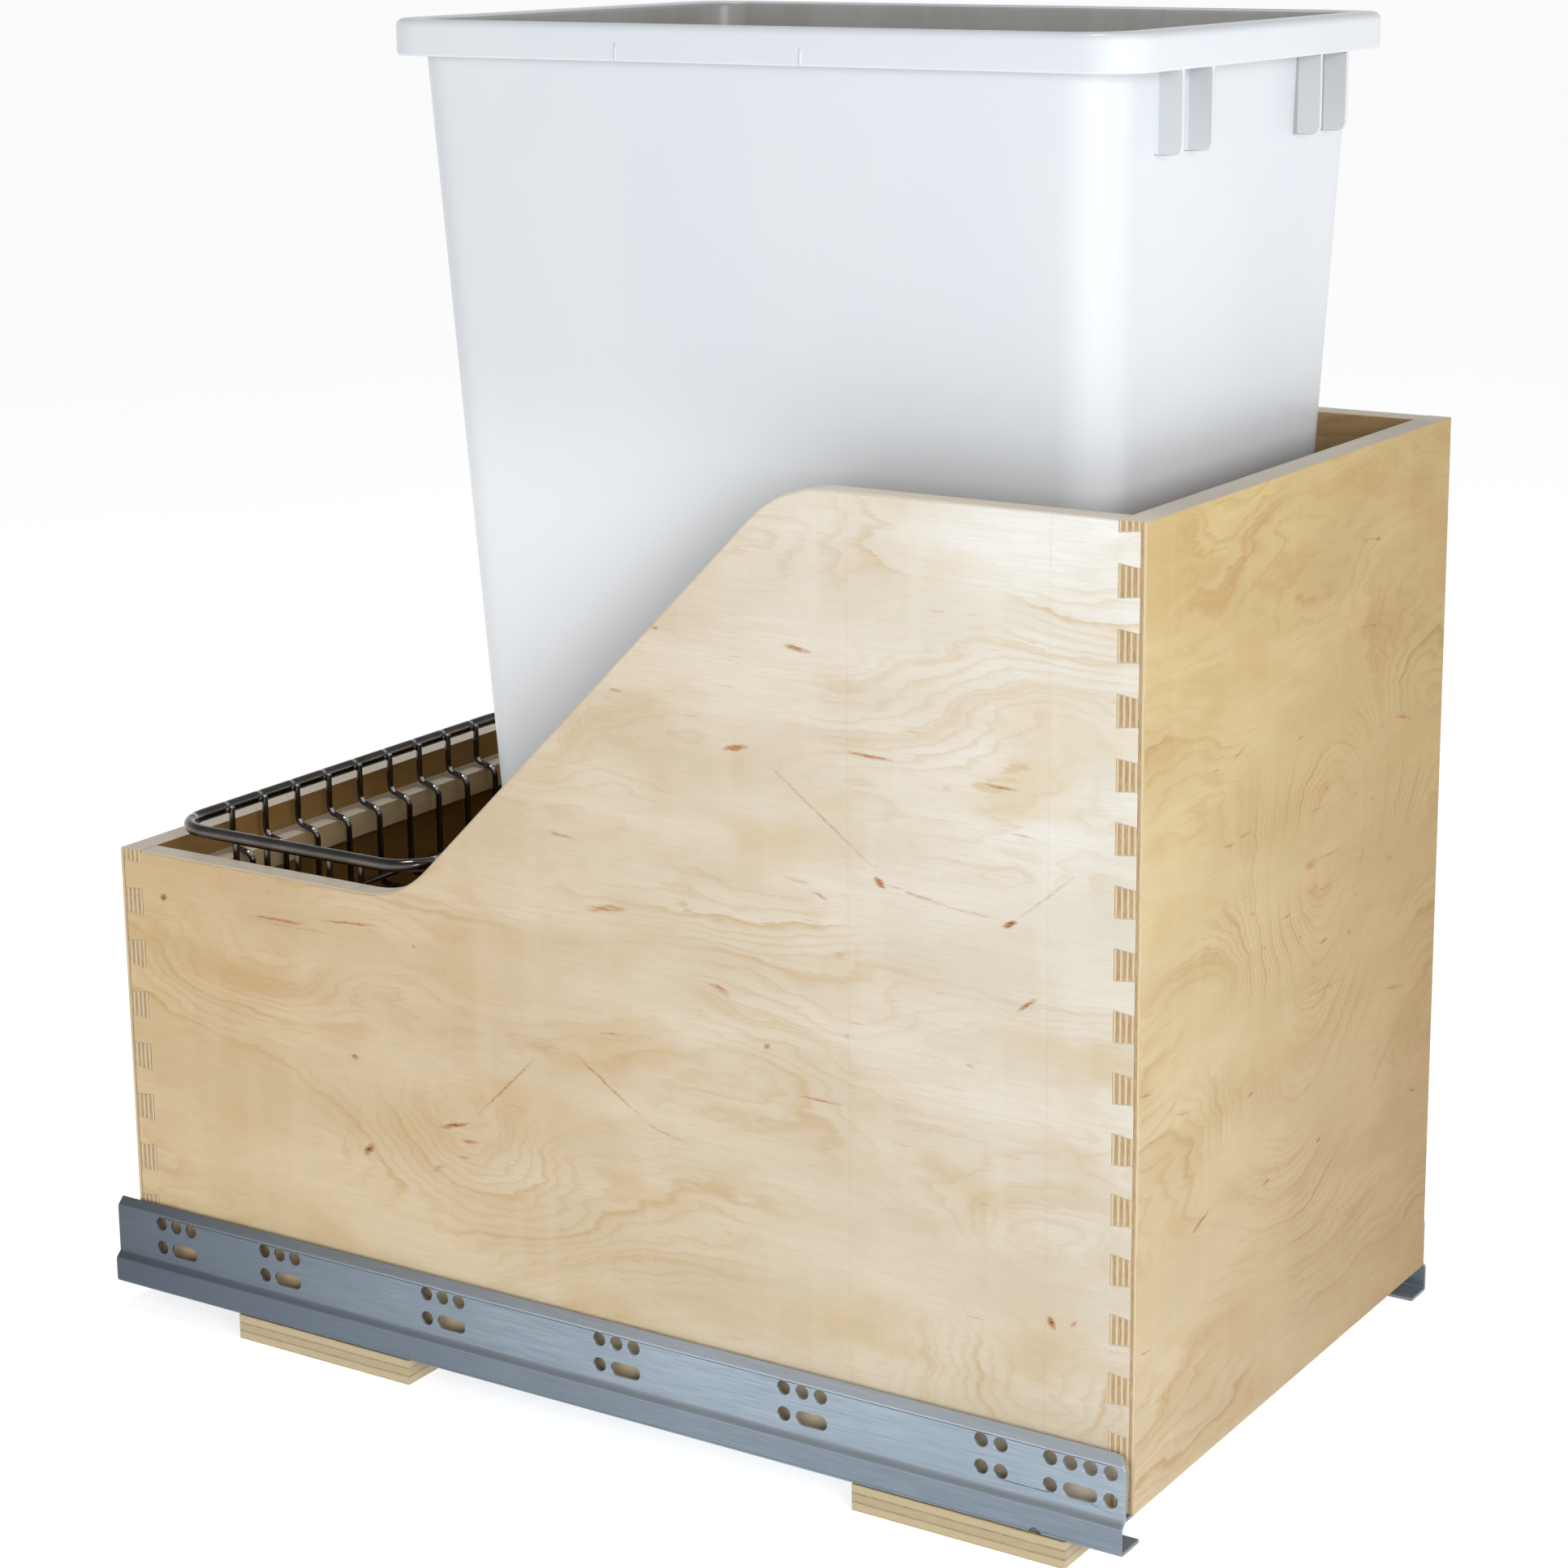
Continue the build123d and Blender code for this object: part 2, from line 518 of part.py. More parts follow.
# ---- write the nodes -------------------------------------------------------------------------
def main():
    for name, start in BOARD_DEPTHS.items():
        save(f"cross_board_{name}", cross_board(start))
    save("base_screws", group(*[base_screw(side, depth) for side in (-1, 1) for depth in screw_depths()]))
    save_pair("cabinet_member", cabinet_member())
    save_pair("middle_member", middle_member())
    save_pair("drawer_member", drawer_member())
    slide_middle = sum(TUBE_DEPTHS) / 2
    web_top = WEB_BOTTOM + SHEET
    sets = {"lower": (slide_middle, web_top, TUBE_HEIGHTS[0], 12, 14.0, 1.6),
            "upper": (slide_middle, TUBE_HEIGHTS[1], RAIL_HEIGHTS[1] - SHEET, 12, 14.0, 1.6)}
    for level, sizes in sets.items():
        cage, rollers = roller_set(*sizes)
        save_pair(f"{level}_cage", cage)
        save(f"{level}_rollers", group(*rollers, *[left_of(roller) for roller in rollers]))

    save_pair("side_panel", side_panel())
    save("front_panel", front_panel())
    save("rear_panel", rear_panel())
    save("bottom_panel", bottom_panel())
    ledge_front, ledge_rear = ledges()
    save("basket_ledge_front", ledge_front)
    save("basket_ledge_rear", ledge_rear)
    save("rear_hooks", group(rear_hook(), left_of(rear_hook())))
    save_pair("lock_housing", lock_housing())
    save_pair("release_lever", release_lever())
    save_pair("height_wheel", height_wheel())
    pivots = [pivot_pin(LEVER_DEPTH), pivot_pin(WHEEL_DEPTH)]
    save("lock_pins", group(*pivots, *[left_of(pin) for pin in pivots]))

    save("bin", waste_bin())
    save("basket_frame", top_frame())
    walls = basket_wires()
    for name in ("front", "rear", "left", "right"):
        save(f"basket_{name}_wires", group(*walls[name]))
    save("basket_floor_wires", group(*walls["floor_cross"], *walls["floor_long"], *lower_ring()))


main()
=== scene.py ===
import math

import bmesh
import bpy
from mathutils import Matrix, Vector


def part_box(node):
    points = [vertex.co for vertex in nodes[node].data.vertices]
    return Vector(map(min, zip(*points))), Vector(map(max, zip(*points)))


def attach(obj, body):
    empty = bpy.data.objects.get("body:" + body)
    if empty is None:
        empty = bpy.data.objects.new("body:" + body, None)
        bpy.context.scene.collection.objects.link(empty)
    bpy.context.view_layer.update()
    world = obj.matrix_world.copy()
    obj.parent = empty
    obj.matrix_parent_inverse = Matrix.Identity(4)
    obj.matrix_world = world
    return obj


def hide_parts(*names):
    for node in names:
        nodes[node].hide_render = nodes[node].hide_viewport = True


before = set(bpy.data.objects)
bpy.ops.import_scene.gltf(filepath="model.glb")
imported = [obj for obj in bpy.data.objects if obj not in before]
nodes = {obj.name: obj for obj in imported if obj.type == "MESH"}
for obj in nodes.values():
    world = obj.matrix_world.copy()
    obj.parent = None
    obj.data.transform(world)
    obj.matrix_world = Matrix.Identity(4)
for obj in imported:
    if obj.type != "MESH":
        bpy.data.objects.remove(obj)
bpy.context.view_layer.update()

scene = bpy.context.scene
MM = 0.001

# Sizes from the CAD, in millimetres.
FRONT_EDGE, BOX_BOTTOM = 271.75, 27.6  # the box's front edge and underside, from the frame's origin
BIN_WALL, BIN_HEIGHT, BIN_RADIUS, RIM_HEIGHT = 2.4, 557.7, 20.0, 15.4
BIN_TOP_HALF, BIN_FOOT_HALF = (119.5, 168.5), (82.7, 148.8)
GUSSET_X, GUSSET_FOOT = (-77, -51, 51, 77), 509.3  # the foot's height is above the bin's foot
RIB_PLACES = (55.6, -33.8)
FRAME_RADIUS, WIRE_INSET, WIRE_SPACING = 3.0, 4.4, 23.5

# ---- camera ----------------------------------------------------------------------------------
# Where it stands and looks, fitted to the box's edges in the photo.
STAND = (-1.2769, -0.8439, 0.6656)
FORWARD = Vector((0.8275, 0.5142, -0.2251)).normalized()
LEVEL = FORWARD.cross(Vector((0, 0, 1))).normalized()
ROLL = -0.006
UP = LEVEL.cross(FORWARD)
right = LEVEL * math.cos(ROLL) + UP * math.sin(ROLL)
above = UP * math.cos(ROLL) - LEVEL * math.sin(ROLL)
lens = bpy.data.cameras.new("camera")
lens.lens, lens.sensor_width = 78.685, 36.0
lens.shift_x, lens.shift_y = -0.0453, -0.0706
lens.clip_start, lens.clip_end = 0.05, 50.0
camera = bpy.data.objects.new("camera", lens)
turn = Matrix((right, above, -FORWARD)).transposed().to_4x4()
camera.matrix_world = Matrix.Translation(STAND) @ turn
scene.collection.objects.link(camera)
scene.camera = camera


# ---- material building -----------------------------------------------------------------------
class Material:
    """A node material. Each method adds one node and returns its output socket."""

    def __init__(self, name, **constants):
        self.material = bpy.data.materials.new(name)
        self.material.use_nodes = True
        self.tree = self.material.node_tree
        self.surface = self.tree.nodes["Principled BSDF"]
        for key, value in constants.items():
            self.surface.inputs[key.replace("_", " ")].default_value = value

    def node(self, kind, inputs, out=0, **settings):
        made = self.tree.nodes.new("ShaderNode" + kind)
        for key, value in settings.items():
            setattr(made, key, value)
        for key, value in inputs.items():
            if isinstance(value, bpy.types.NodeSocket):
                self.tree.links.new(value, made.inputs[key])
            else:
                made.inputs[key].default_value = value
        return made.outputs[out]

    def set(self, **sockets):
        for key, value in sockets.items():
            self.tree.links.new(value, self.surface.inputs[key.replace("_", " ")])
        return self.material

    def math(self, operation, *values):
        return self.node("Math", dict(enumerate(values)), operation=operation)

    def place(self):
        """Position in the part's frame, in millimetres."""
        made = self.tree.nodes.new("ShaderNodeTexCoord")
        return self.scaled(made.outputs["Object"], 1000.0, 1000.0, 1000.0)

    def normal(self):
        return self.tree.nodes.new("ShaderNodeTexCoord").outputs["Normal"]

    def split(self, vector):
        made = self.tree.nodes.new("ShaderNodeSeparateXYZ")
        self.tree.links.new(vector, made.inputs[0])
        return list(made.outputs)

    def join(self, x, y, z):
        return self.node("CombineXYZ", {0: x, 1: y, 2: z})

    def scaled(self, vector, x, y, z):
        return self.node("VectorMath", {0: vector, 1: (x, y, z)}, operation="MULTIPLY")

    def noise(self, vector, detail=2.0, roughness=0.5, scale=1.0):
        """Smooth noise, 0 to 1, one blob to a unit of the vector."""
        sizes = {"Vector": vector, "Scale": scale, "Detail": detail, "Roughness": roughness}
        return self.node("TexNoise", sizes)

    def reach(self, vector, centre, size, slant=0.0):
        """Distance from the centre of an ellipse turned by a slant in degrees, 1 at its edge."""
        sizes = {"Vector": vector, "Location": (*centre, 0), "Scale": size,
                 "Rotation": (0, 0, math.radians(slant))}
        turned = self.node("Mapping", sizes, vector_type="TEXTURE")
        return self.node("VectorMath", {0: turned}, out=1, operation="LENGTH")

    def remap(self, value, low, high, to_low=0.0, to_high=1.0, smooth=True):
        sizes = {"Value": value, 1: low, 2: high, 3: to_low, 4: to_high}
        return self.node("MapRange", sizes, interpolation_type="SMOOTHSTEP" if smooth else "LINEAR")

    def mix(self, factor, first, second, blend="MIX"):
        parts = {0: factor, 6: first, 7: second}
        return self.node("Mix", parts, out=2, data_type="RGBA", blend_type=blend)

    def ramp(self, value, *stops):
        made = self.tree.nodes.new("ShaderNodeValToRGB")
        while len(made.color_ramp.elements) < len(stops):
            made.color_ramp.elements.new(0.5)
        for element, (position, colour) in zip(made.color_ramp.elements, stops):
            element.position, element.color = position, colour
        self.tree.links.new(value, made.inputs[0])
        return made.outputs[0]

    def bump(self, height, distance, strength):
        return self.node("Bump", {"Height": height, "Distance": distance, "Strength": strength})


def rgb(red, green, blue):
    """A screen colour, 0 to 255, as linear light with alpha."""
    parts = [channel / 255 for channel in (red, green, blue)]
    return tuple(p / 12.92 if p < 0.04045 else ((p + 0.055) / 1.055) ** 2.4 for p in parts) + (1.0,)


def grey(value):
    return (value, value, value, 1.0)


# ---- plywood ---------------------------------------------------------------------------------
# Marks in the veneer: grain position, height, length, width (mm), slant (degrees), strength.
LEFT_MARKS = [
    (-508, 180, 4, 3.5, 20, 1.0), (-438, 180, 30, 2.0, 2, 0.75), (-398, 185, 35, 1.5, 4, 0.6),
    (-426, 178, 55, 1.5, 0, 0.3), (-396, 122, 5, 2.5, -10, 0.7), (-390, 79, 7, 4.5, 40, 1.0),
    (-360, 180, 2, 2.0, 0, 0.6), (-340, 100, 17, 2.5, 16, 0.95), (-332, 94, 9, 2.0, 8, 0.6),
    (-335, 86, 8, 2.0, 5, 0.5), (-350, 78, 10, 3.0, 30, 0.35), (-310, 124, 48, 1.8, 44, 0.5),
    (-256, 135, 45, 1.8, -33, 0.45), (-227, 119, 30, 1.5, -12, 0.3), (-291, 146, 25, 8.0, 5, 0.28),
    (-254, 214, 21, 3.5, 8, 0.55), (-247, 310, 7, 2.0, 0, 0.5), (-226, 339, 4, 2.0, 0, 0.5),
    (-156, 338, 13, 2.5, -6, 0.7), (-187, 293, 12, 2.5, 10, 0.85), (-123, 298, 21, 2.0, -4, 0.65),
    (-62, 293, 15, 2.0, -3, 0.6), (-146, 270, 75, 1.5, -36, 0.35), (-118, 246, 6, 3.5, -35, 1.0),
    (-99, 243, 40, 1.5, -10, 0.35), (-76, 240, 30, 1.5, -3, 0.3), (-58, 238, 7, 2.5, 20, 1.0),
    (-42, 251, 40, 1.5, 40, 0.3), (-50, 206, 11, 2.0, 38, 0.75), (-197, 188, 11, 2.5, -15, 0.6),
    (-173, 167, 4, 2.5, 20, 0.55), (-157, 241, 12, 2.0, -5, 0.35), (-146, 236, 9, 2.0, -20, 0.4),
    (-277, 243, 13, 2.0, -5, 0.45), (-137, 212, 7, 5.0, 0, 0.25), (-134, 178, 3, 2.5, 0, 0.4),
    (-76, 176, 4, 2.0, 0, 0.5), (-148, 148, 22, 1.5, 0, 0.5), (-38, 74, 6, 3.5, -60, 0.9),
    (-28, 76, 4, 2.0, 40, 0.5), (-253, 158, 15, 1.5, 5, 0.4)]
FRONT_MARKS = [
    (62, 363, 28, 1.0, -3, 0.5), (70, 362, 6, 1.2, -3, 0.95), (62, 325, 28, 1.0, -5, 0.5),
    (68, 324, 6, 1.2, -3, 0.95), (-85, 294, 4, 1.5, 0, 0.7), (-66, 296, 18, 1.2, 16, 0.5),
    (-5, 290, 6, 1.2, 3, 0.7), (104, 276, 19, 1.8, -14, 0.85), (-73, 260, 11, 1.5, -6, 0.7),
    (-57, 261, 10, 1.5, -4, 0.75), (23, 262, 6, 1.5, -32, 0.7), (12, 255, 16, 1.2, -5, 0.5),
    (54, 253, 4, 1.5, 20, 0.6), (72, 246, 6, 1.5, 0, 0.6), (8, 232, 14, 5.5, 0, 0.5),
    (24, 232, 42, 1.2, -3, 0.5), (10, 220, 12, 3.5, 0, 0.4), (24, 218, 32, 1.5, 2, 0.5),
    (62, 222, 12, 1.5, 56, 0.7), (-15, 215, 7, 1.5, -3, 0.75), (-49, 225, 6, 1.2, 0, 0.6),
    (-36, 207, 4, 1.5, 0, 0.6), (-1, 202, 3, 1.8, 0, 0.7), (57, 206, 4, 1.5, 0, 0.7),
    (93, 214, 8, 3.0, -15, 0.6), (113, 226, 6, 1.5, -5, 0.6), (23, 194, 9, 1.8, 3, 0.9),
    (50, 191, 4, 3.2, 0, 0.75), (12, 178, 25, 1.2, -5, 0.4), (24, 172, 48, 1.5, -2, 0.5),
    (-144, 176, 11, 1.8, -12, 0.6), (-119, 164, 8, 1.2, 28, 0.6), (-110, 158, 14, 1.2, -12, 0.5),
    (-47, 146, 6, 2.0, 10, 0.9), (102, 151, 23, 1.5, -11, 0.85), (-92, 106, 16, 2.0, 17, 0.9),
    (-30, 102, 6, 1.8, 0, 0.9), (24, 104, 6, 2.2, 16, 0.95), (128, 94, 12, 2.5, -20, 1.0),
    (14, 64, 50, 1.2, -2, 0.6), (-140, 67, 10, 1.2, -8, 0.6), (146, 81, 6, 5.5, 0, 0.4)]
OTHER_MARKS = [
    (-96, 60, 9, 2.0, 8, 0.8), (-40, 118, 14, 1.8, -5, 0.6), (30, 44, 6, 3.0, 30, 0.9),
    (82, 150, 20, 1.6, 3, 0.6), (115, 84, 7, 2.4, -20, 0.8), (-120, 172, 16, 1.6, 4, 0.5)]
# the right side repeats the left, turned end for end
RIGHT_MARKS = [(-u - 533, height, length, width, -slant, strength)
               for u, height, length, width, slant, strength in LEFT_MARKS[:36]]
MARK_LENGTH, MARK_WIDTH = 0.62, 0.55  # part of a mark's size that its ellipse reaches
RING_SPACING = 40.0  # mm between growth rings on an even field
FACE_ON = 0.72       # least share of a normal along an axis for a face to count as facing it
SEALED_AND_LIT = 0.8         # how much of the plies the sealer and the painted light hide on a top edge


def growth_rings(m, flat, v, figure, eyes):
    """Thin dark lines along the contours of a gently rolling field, which rises at each eye."""
    broad = m.noise(m.scaled(flat, 0.0055, 0.011, 0.01), detail=1.5)
    ragged = m.noise(m.scaled(flat, 0.03, 0.10, 0.01), detail=3.0, roughness=0.55)
    field = m.math("MULTIPLY_ADD", v, 1 / RING_SPACING, m.math("MULTIPLY", broad, 6.0 * figure))
    field = m.math("ADD", field, m.math("MULTIPLY", ragged, 0.7))
    for eye_u, eye_v, length, height, rings in eyes:
        reach = m.reach(flat, (eye_u, eye_v), (length, height, 1e5))
        falloff = m.math("EXPONENT", m.math("MULTIPLY", m.math("MULTIPLY", reach, reach), -1.0))
        field = m.math("MULTIPLY_ADD", falloff, rings, field)
    coarse = m.math("FRACT", field)
    fine = m.math("FRACT", m.math("MULTIPLY", field, 3.7))
    lines = m.ramp(coarse, (0.0, grey(0.15)), (0.3, grey(0.0)), (0.8, grey(0.30)), (0.955, grey(1.0)),
                   (1.0, grey(0.1)))
    thin = m.ramp(fine, (0.0, grey(0.1)), (0.5, grey(0.0)), (0.92, grey(1.0)), (1.0, grey(0.2)))
    faint = m.noise(m.scaled(flat, 0.008, 0.018, 0.02), detail=1.0)
    faint = m.remap(faint, 0.38, 0.64, 0.12, 1.0)
    return m.math("MULTIPLY", m.math("MULTIPLY_ADD", thin, 0.75, lines), faint)


def veneer_tint(m, flat, rings, fibre, pores, vigour):
    """Clouds, rings, fibre and pores, as pale factors on the panel's own colour."""
    clouds = m.noise(m.scaled(flat, 0.010, 0.026, 0.02), detail=3.0)
    elsewhere = m.node("VectorMath", {0: flat, 1: (311.0, 97.0, 0.0)}, operation="ADD")
    blush = m.noise(m.scaled(elsewhere, 0.013, 0.03, 0.02), detail=2.0)
    chatter = m.noise(m.scaled(flat, 0.07, 0.006, 0.02), detail=2.0)
    tint = m.mix(m.remap(clouds, 0.32, 0.7), rgb(255, 254, 252), rgb(240, 235, 224))
    tint = m.mix(m.remap(blush, 0.50, 0.74, 0.0, 0.75), tint, rgb(238, 222, 190))
    tint = m.mix(m.math("MULTIPLY", rings, vigour), tint, rgb(224, 196, 150))
    tint = m.mix(m.remap(fibre, 0.36, 0.70, 0.0, 0.45), tint, rgb(238, 226, 204))
    tint = m.mix(m.math("MULTIPLY", pores, 0.22), tint, rgb(196, 166, 120))
    return m.mix(m.remap(chatter, 0.48, 0.72, 0.0, 0.2), tint, rgb(255, 254, 252))


def corner_tones_and_light(m, u, v, grain, tones_and_light):
    """A colour that runs between the tones at the panel's four corners: partly wood tone, partly painted sheen
    and painted shade.
    """
    ends = (-533.0, 0.0) if grain == 1 else (-148.0, 148.0)
    run = m.remap(u, *ends, smooth=False)
    rise = m.remap(v, 20.0, 400.0, smooth=False)
    return m.mix(run, m.mix(rise, tones_and_light[0], tones_and_light[1]), m.mix(rise, tones_and_light[2], tones_and_light[3]))


def knots(m, base, flat, u, v, marks):
    """Scattered flecks, then pin knots and mineral streaks where the marks are."""
    flecks = m.noise(m.scaled(flat, 0.05, 0.62, 0.02), detail=1.0)
    base = m.mix(m.remap(flecks, 0.74, 0.82, 0.0, 0.5), base, rgb(196, 146, 94))
    if not marks:
        return base
    wander = m.noise(m.scaled(flat, 0.16, 0.3, 0.1), detail=2.0)
    drift = m.math("MULTIPLY_ADD", wander, 2.4, -1.2)
    bent = m.join(u, m.math("ADD", v, drift), 0.0)
    halo = None
    for mark_u, mark_v, length, width, slant, strength in marks:
        size = (length * MARK_LENGTH, width * MARK_WIDTH, 1.0)
        value = m.remap(m.reach(bent, (mark_u, mark_v), size, slant), 0.1, 1.25, strength, 0.0)
        halo = value if halo is None else m.math("MAXIMUM", halo, value)
    torn = m.remap(m.noise(m.scaled(flat, 0.22, 1.0, 0.1), detail=2.0), 0.30, 0.62, 0.5, 1.0)
    halo = m.math("MULTIPLY", halo, torn)
    base = m.mix(m.remap(halo, 0.0, 0.6, 0.0, 0.9), base, rgb(176, 116, 64))
    return m.mix(m.remap(halo, 0.6, 0.95), base, rgb(84, 50, 32))


def ply_edge(m, places, axis, upward, span, plies, contrast, shade):
    """The plies and their glue lines, stacked along the axis from one end of the span to the other."""
    ripple = m.noise(m.scaled(m.join(*places), 0.03, 0.03, 0.03), detail=2.0)
    ripple = m.math("MULTIPLY_ADD", ripple, 0.05, -0.025)
    depth = m.math("ADD", m.remap(places[axis], *span, smooth=False), ripple)
    layer = m.math("MULTIPLY", depth, float(plies))
    parity = m.math("PINGPONG", m.math("SUBTRACT", layer, 0.5), 1.0)
    glue = m.ramp(m.math("FRACT", layer), (0.0, grey(1.0)), (0.12, grey(0.15)), (0.2, grey(0.0)),
                  (0.8, grey(0.0)), (0.88, grey(0.15)), (1.0, grey(1.0)))
    stretch = [0.22, 0.22, 0.22]
    stretch[axis] = 1.6
    fibre_ends = m.noise(m.scaled(m.join(*places), *stretch), detail=4.0, roughness=0.7)
    edge = m.mix(m.remap(parity, 0.35, 0.65, 0.0, contrast), rgb(212, 190, 150), rgb(168, 134, 90))
    edge = m.mix(m.math("MULTIPLY", glue, 0.75), edge, rgb(112, 84, 56))
    edge = m.mix(m.remap(fibre_ends, 0.3, 0.75, 0.0, 0.4), edge, rgb(226, 210, 178))
    if shade:
        edge = m.mix(1.0, edge, shade, blend="MULTIPLY")
    if axis != 2:
        # the long top edges are sanded and sealed, so their plies hardly show; their pale tone is partly
        # painted light
        top = m.remap(m.math("ABSOLUTE", upward), 0.4, 0.7, 0.0, SEALED_AND_LIT)
        sealed_and_lit = m.mix(m.remap(fibre_ends, 0.3, 0.7), rgb(240, 229, 211), rgb(226, 214, 194))
        edge = m.mix(top, edge, sealed_and_lit)
    return edge


def plywood(name, axis, grain, span, tones_and_light, figure=1.0, vigour=0.5, eyes=(), marks=(), seams=(),
            plies=9, inner=0, contrast=1.0, shade=None):
    """Birch plywood, with rotary-cut veneer on the faces across `axis` and the plies on the edges.

    `tones_and_light` holds the colour at the panel's corners, the wood's tone with painted sheen and painted
    shade laid over it: start low, start high, end low, end high.
    `eyes` are centres of the figure: grain position, height, half length, half height, rings.
    `inner` is the sign of the face that is inside the box, which gets painted shade, and `shade` darkens the
    edges.
    """
    m = Material(name, IOR=1.46, Coat_Weight=0.10, Coat_Roughness=0.32)
    x, y, z = m.split(m.place())
    facing = m.split(m.normal())
    places = [x, m.math("ADD", y, FRONT_EDGE), m.math("SUBTRACT", z, BOX_BOTTOM)]
    across = ({0, 1, 2} - {axis, grain}).pop()
    u = m.math("MULTIPLY", places[grain], -1.0) if grain == 1 else places[grain]
    v = places[across]
    flat = m.join(u, v, m.math("MULTIPLY", places[axis], 6.0))

    rings = growth_rings(m, flat, v, figure, eyes)
    fibre = m.noise(m.scaled(flat, 0.03, 1.1, 0.05), detail=5.0, roughness=0.7)
    pores = m.remap(m.noise(m.scaled(flat, 0.12, 3.0, 0.05), detail=2.0), 0.60, 0.74)
    base = veneer_tint(m, flat, rings, fibre, pores, vigour)
    for seam in seams:
        near = m.math("ABSOLUTE", m.math("SUBTRACT", u, seam))
        base = m.mix(m.remap(near, 0.25, 0.9, 0.08, 0.0), base, rgb(200, 180, 150))
    base = m.mix(1.0, base, corner_tones_and_light(m, u, v, grain, tones_and_light), blend="MULTIPLY")
    if inner:
        # painted shade on the faces inside the box, darker and browner
        shaded_inside = m.math("GREATER_THAN", m.math("MULTIPLY", facing[axis], float(inner)), FACE_ON)
        base = m.mix(shaded_inside, base, m.mix(1.0, base, rgb(198, 171, 128), blend="MULTIPLY"))
    base = knots(m, base, flat, u, v, marks)

    edge = ply_edge(m, places, axis, facing[2], span, plies, contrast, shade)
    veneer = m.math("GREATER_THAN", m.math("ABSOLUTE", facing[axis]), FACE_ON)
    rough = m.remap(fibre, 0.3, 0.8, 0.40, 0.52)
    relief = m.math("SUBTRACT", m.math("MULTIPLY", fibre, 0.5), m.math("MULTIPLY", pores, 0.5))
    relief = m.math("SUBTRACT", relief, m.math("MULTIPLY", m.math("MULTIPLY", rings, veneer), 0.3))
    colour = m.mix(veneer, edge, base)
    return m.set(Base_Color=colour, Roughness=rough, Normal=m.bump(relief, 0.00012, 0.35))


# ---- metals and plastics ---------------------------------------------------------------------
def zinc(name, colour, dark, rough=0.42, along=2, painted_rear_shade=0.0, shoulder=None):
    """Zinc-plated steel sheet with fine lines along one axis, and the faint cloudiness of plating.

    `painted_rear_shade` sets how far painted shade darkens the rear end, and also turns on a painted highlight
    on the faces that look up; `shoulder` is a height below which the sheet is darker.
    """
    m = Material(name, Metallic=0.6, Specular_IOR_Level=0.5)
    place = m.place()
    sizes = [1.1, 1.1, 1.1]
    sizes[along] = 0.035
    lines = m.noise(m.scaled(place, *sizes), detail=4.0, roughness=0.7)
    patches = m.noise(m.scaled(place, 0.018, 0.018, 0.05), detail=3.0)
    specks = m.remap(m.noise(m.scaled(place, 1.4, 1.4, 1.4), detail=1.0), 0.70, 0.80)
    tone = m.mix(m.remap(lines, 0.3, 0.7), dark, colour)
    tone = m.mix(m.remap(patches, 0.35, 0.7, 0.0, 0.35), tone, dark)
    tone = m.mix(m.math("MULTIPLY", specks, 0.25), tone, rgb(215, 222, 230))
    if painted_rear_shade:
        x, y, z = m.split(place)
        upward = m.split(m.normal())[2]
        # painted highlight on the faces that look up
        tone = m.mix(m.remap(upward, 0.1, 0.4, 0.0, 0.6), tone, rgb(222, 230, 238))
        # painted shade, darker towards the rear end
        tone = m.mix(m.remap(y, -60.0, 290.0, 0.0, painted_rear_shade, smooth=False), tone, rgb(58, 68, 80))
        if shoulder:
            # darker below the shoulder
            below = m.remap(z, shoulder - 1.0, shoulder + 1.0, 0.42, 0.0)
            tone = m.mix(below, tone, rgb(70, 80, 92))
    roughness = m.remap(lines, 0.25, 0.8, rough - 0.06, rough + 0.08)
    return m.set(Base_Color=tone, Roughness=roughness, Normal=m.bump(lines, 0.00004, 0.25))


def scuffed(m, place, texture, smoothest, roughest, dulling):
    """Light scuffs, and a roughness that follows the moulded texture and the scuffs."""
    scuffs = m.noise(m.scaled(place, 0.05, 0.05, 0.9), detail=3.0, roughness=0.7)
    scuffs = m.remap(scuffs, 0.62, 0.74)
    moulded = m.remap(texture, 0.3, 0.7, smoothest, roughest)
    return scuffs, m.math("ADD", moulded, m.math("MULTIPLY", scuffs, dulling))


def plastic(name, colour, deep, rough, relief=0.00003):
    """Moulded plastic: a fine texture, slight flow marks and a little wear."""
    m = Material(name)
    place = m.place()
    texture = m.noise(m.scaled(place, 0.8, 0.8, 0.8), detail=3.0)
    flow = m.noise(m.scaled(place, 0.012, 0.012, 0.02), detail=2.0)
    scuffs, roughness = scuffed(m, place, texture, rough - 0.03, rough + 0.04, 0.06)
    tone = m.mix(m.remap(flow, 0.3, 0.7), colour, deep)
    tone = m.mix(m.math("MULTIPLY", scuffs, 0.10), tone, deep)
    return m.set(Base_Color=tone, Roughness=roughness, Normal=m.bump(texture, relief, 0.3))


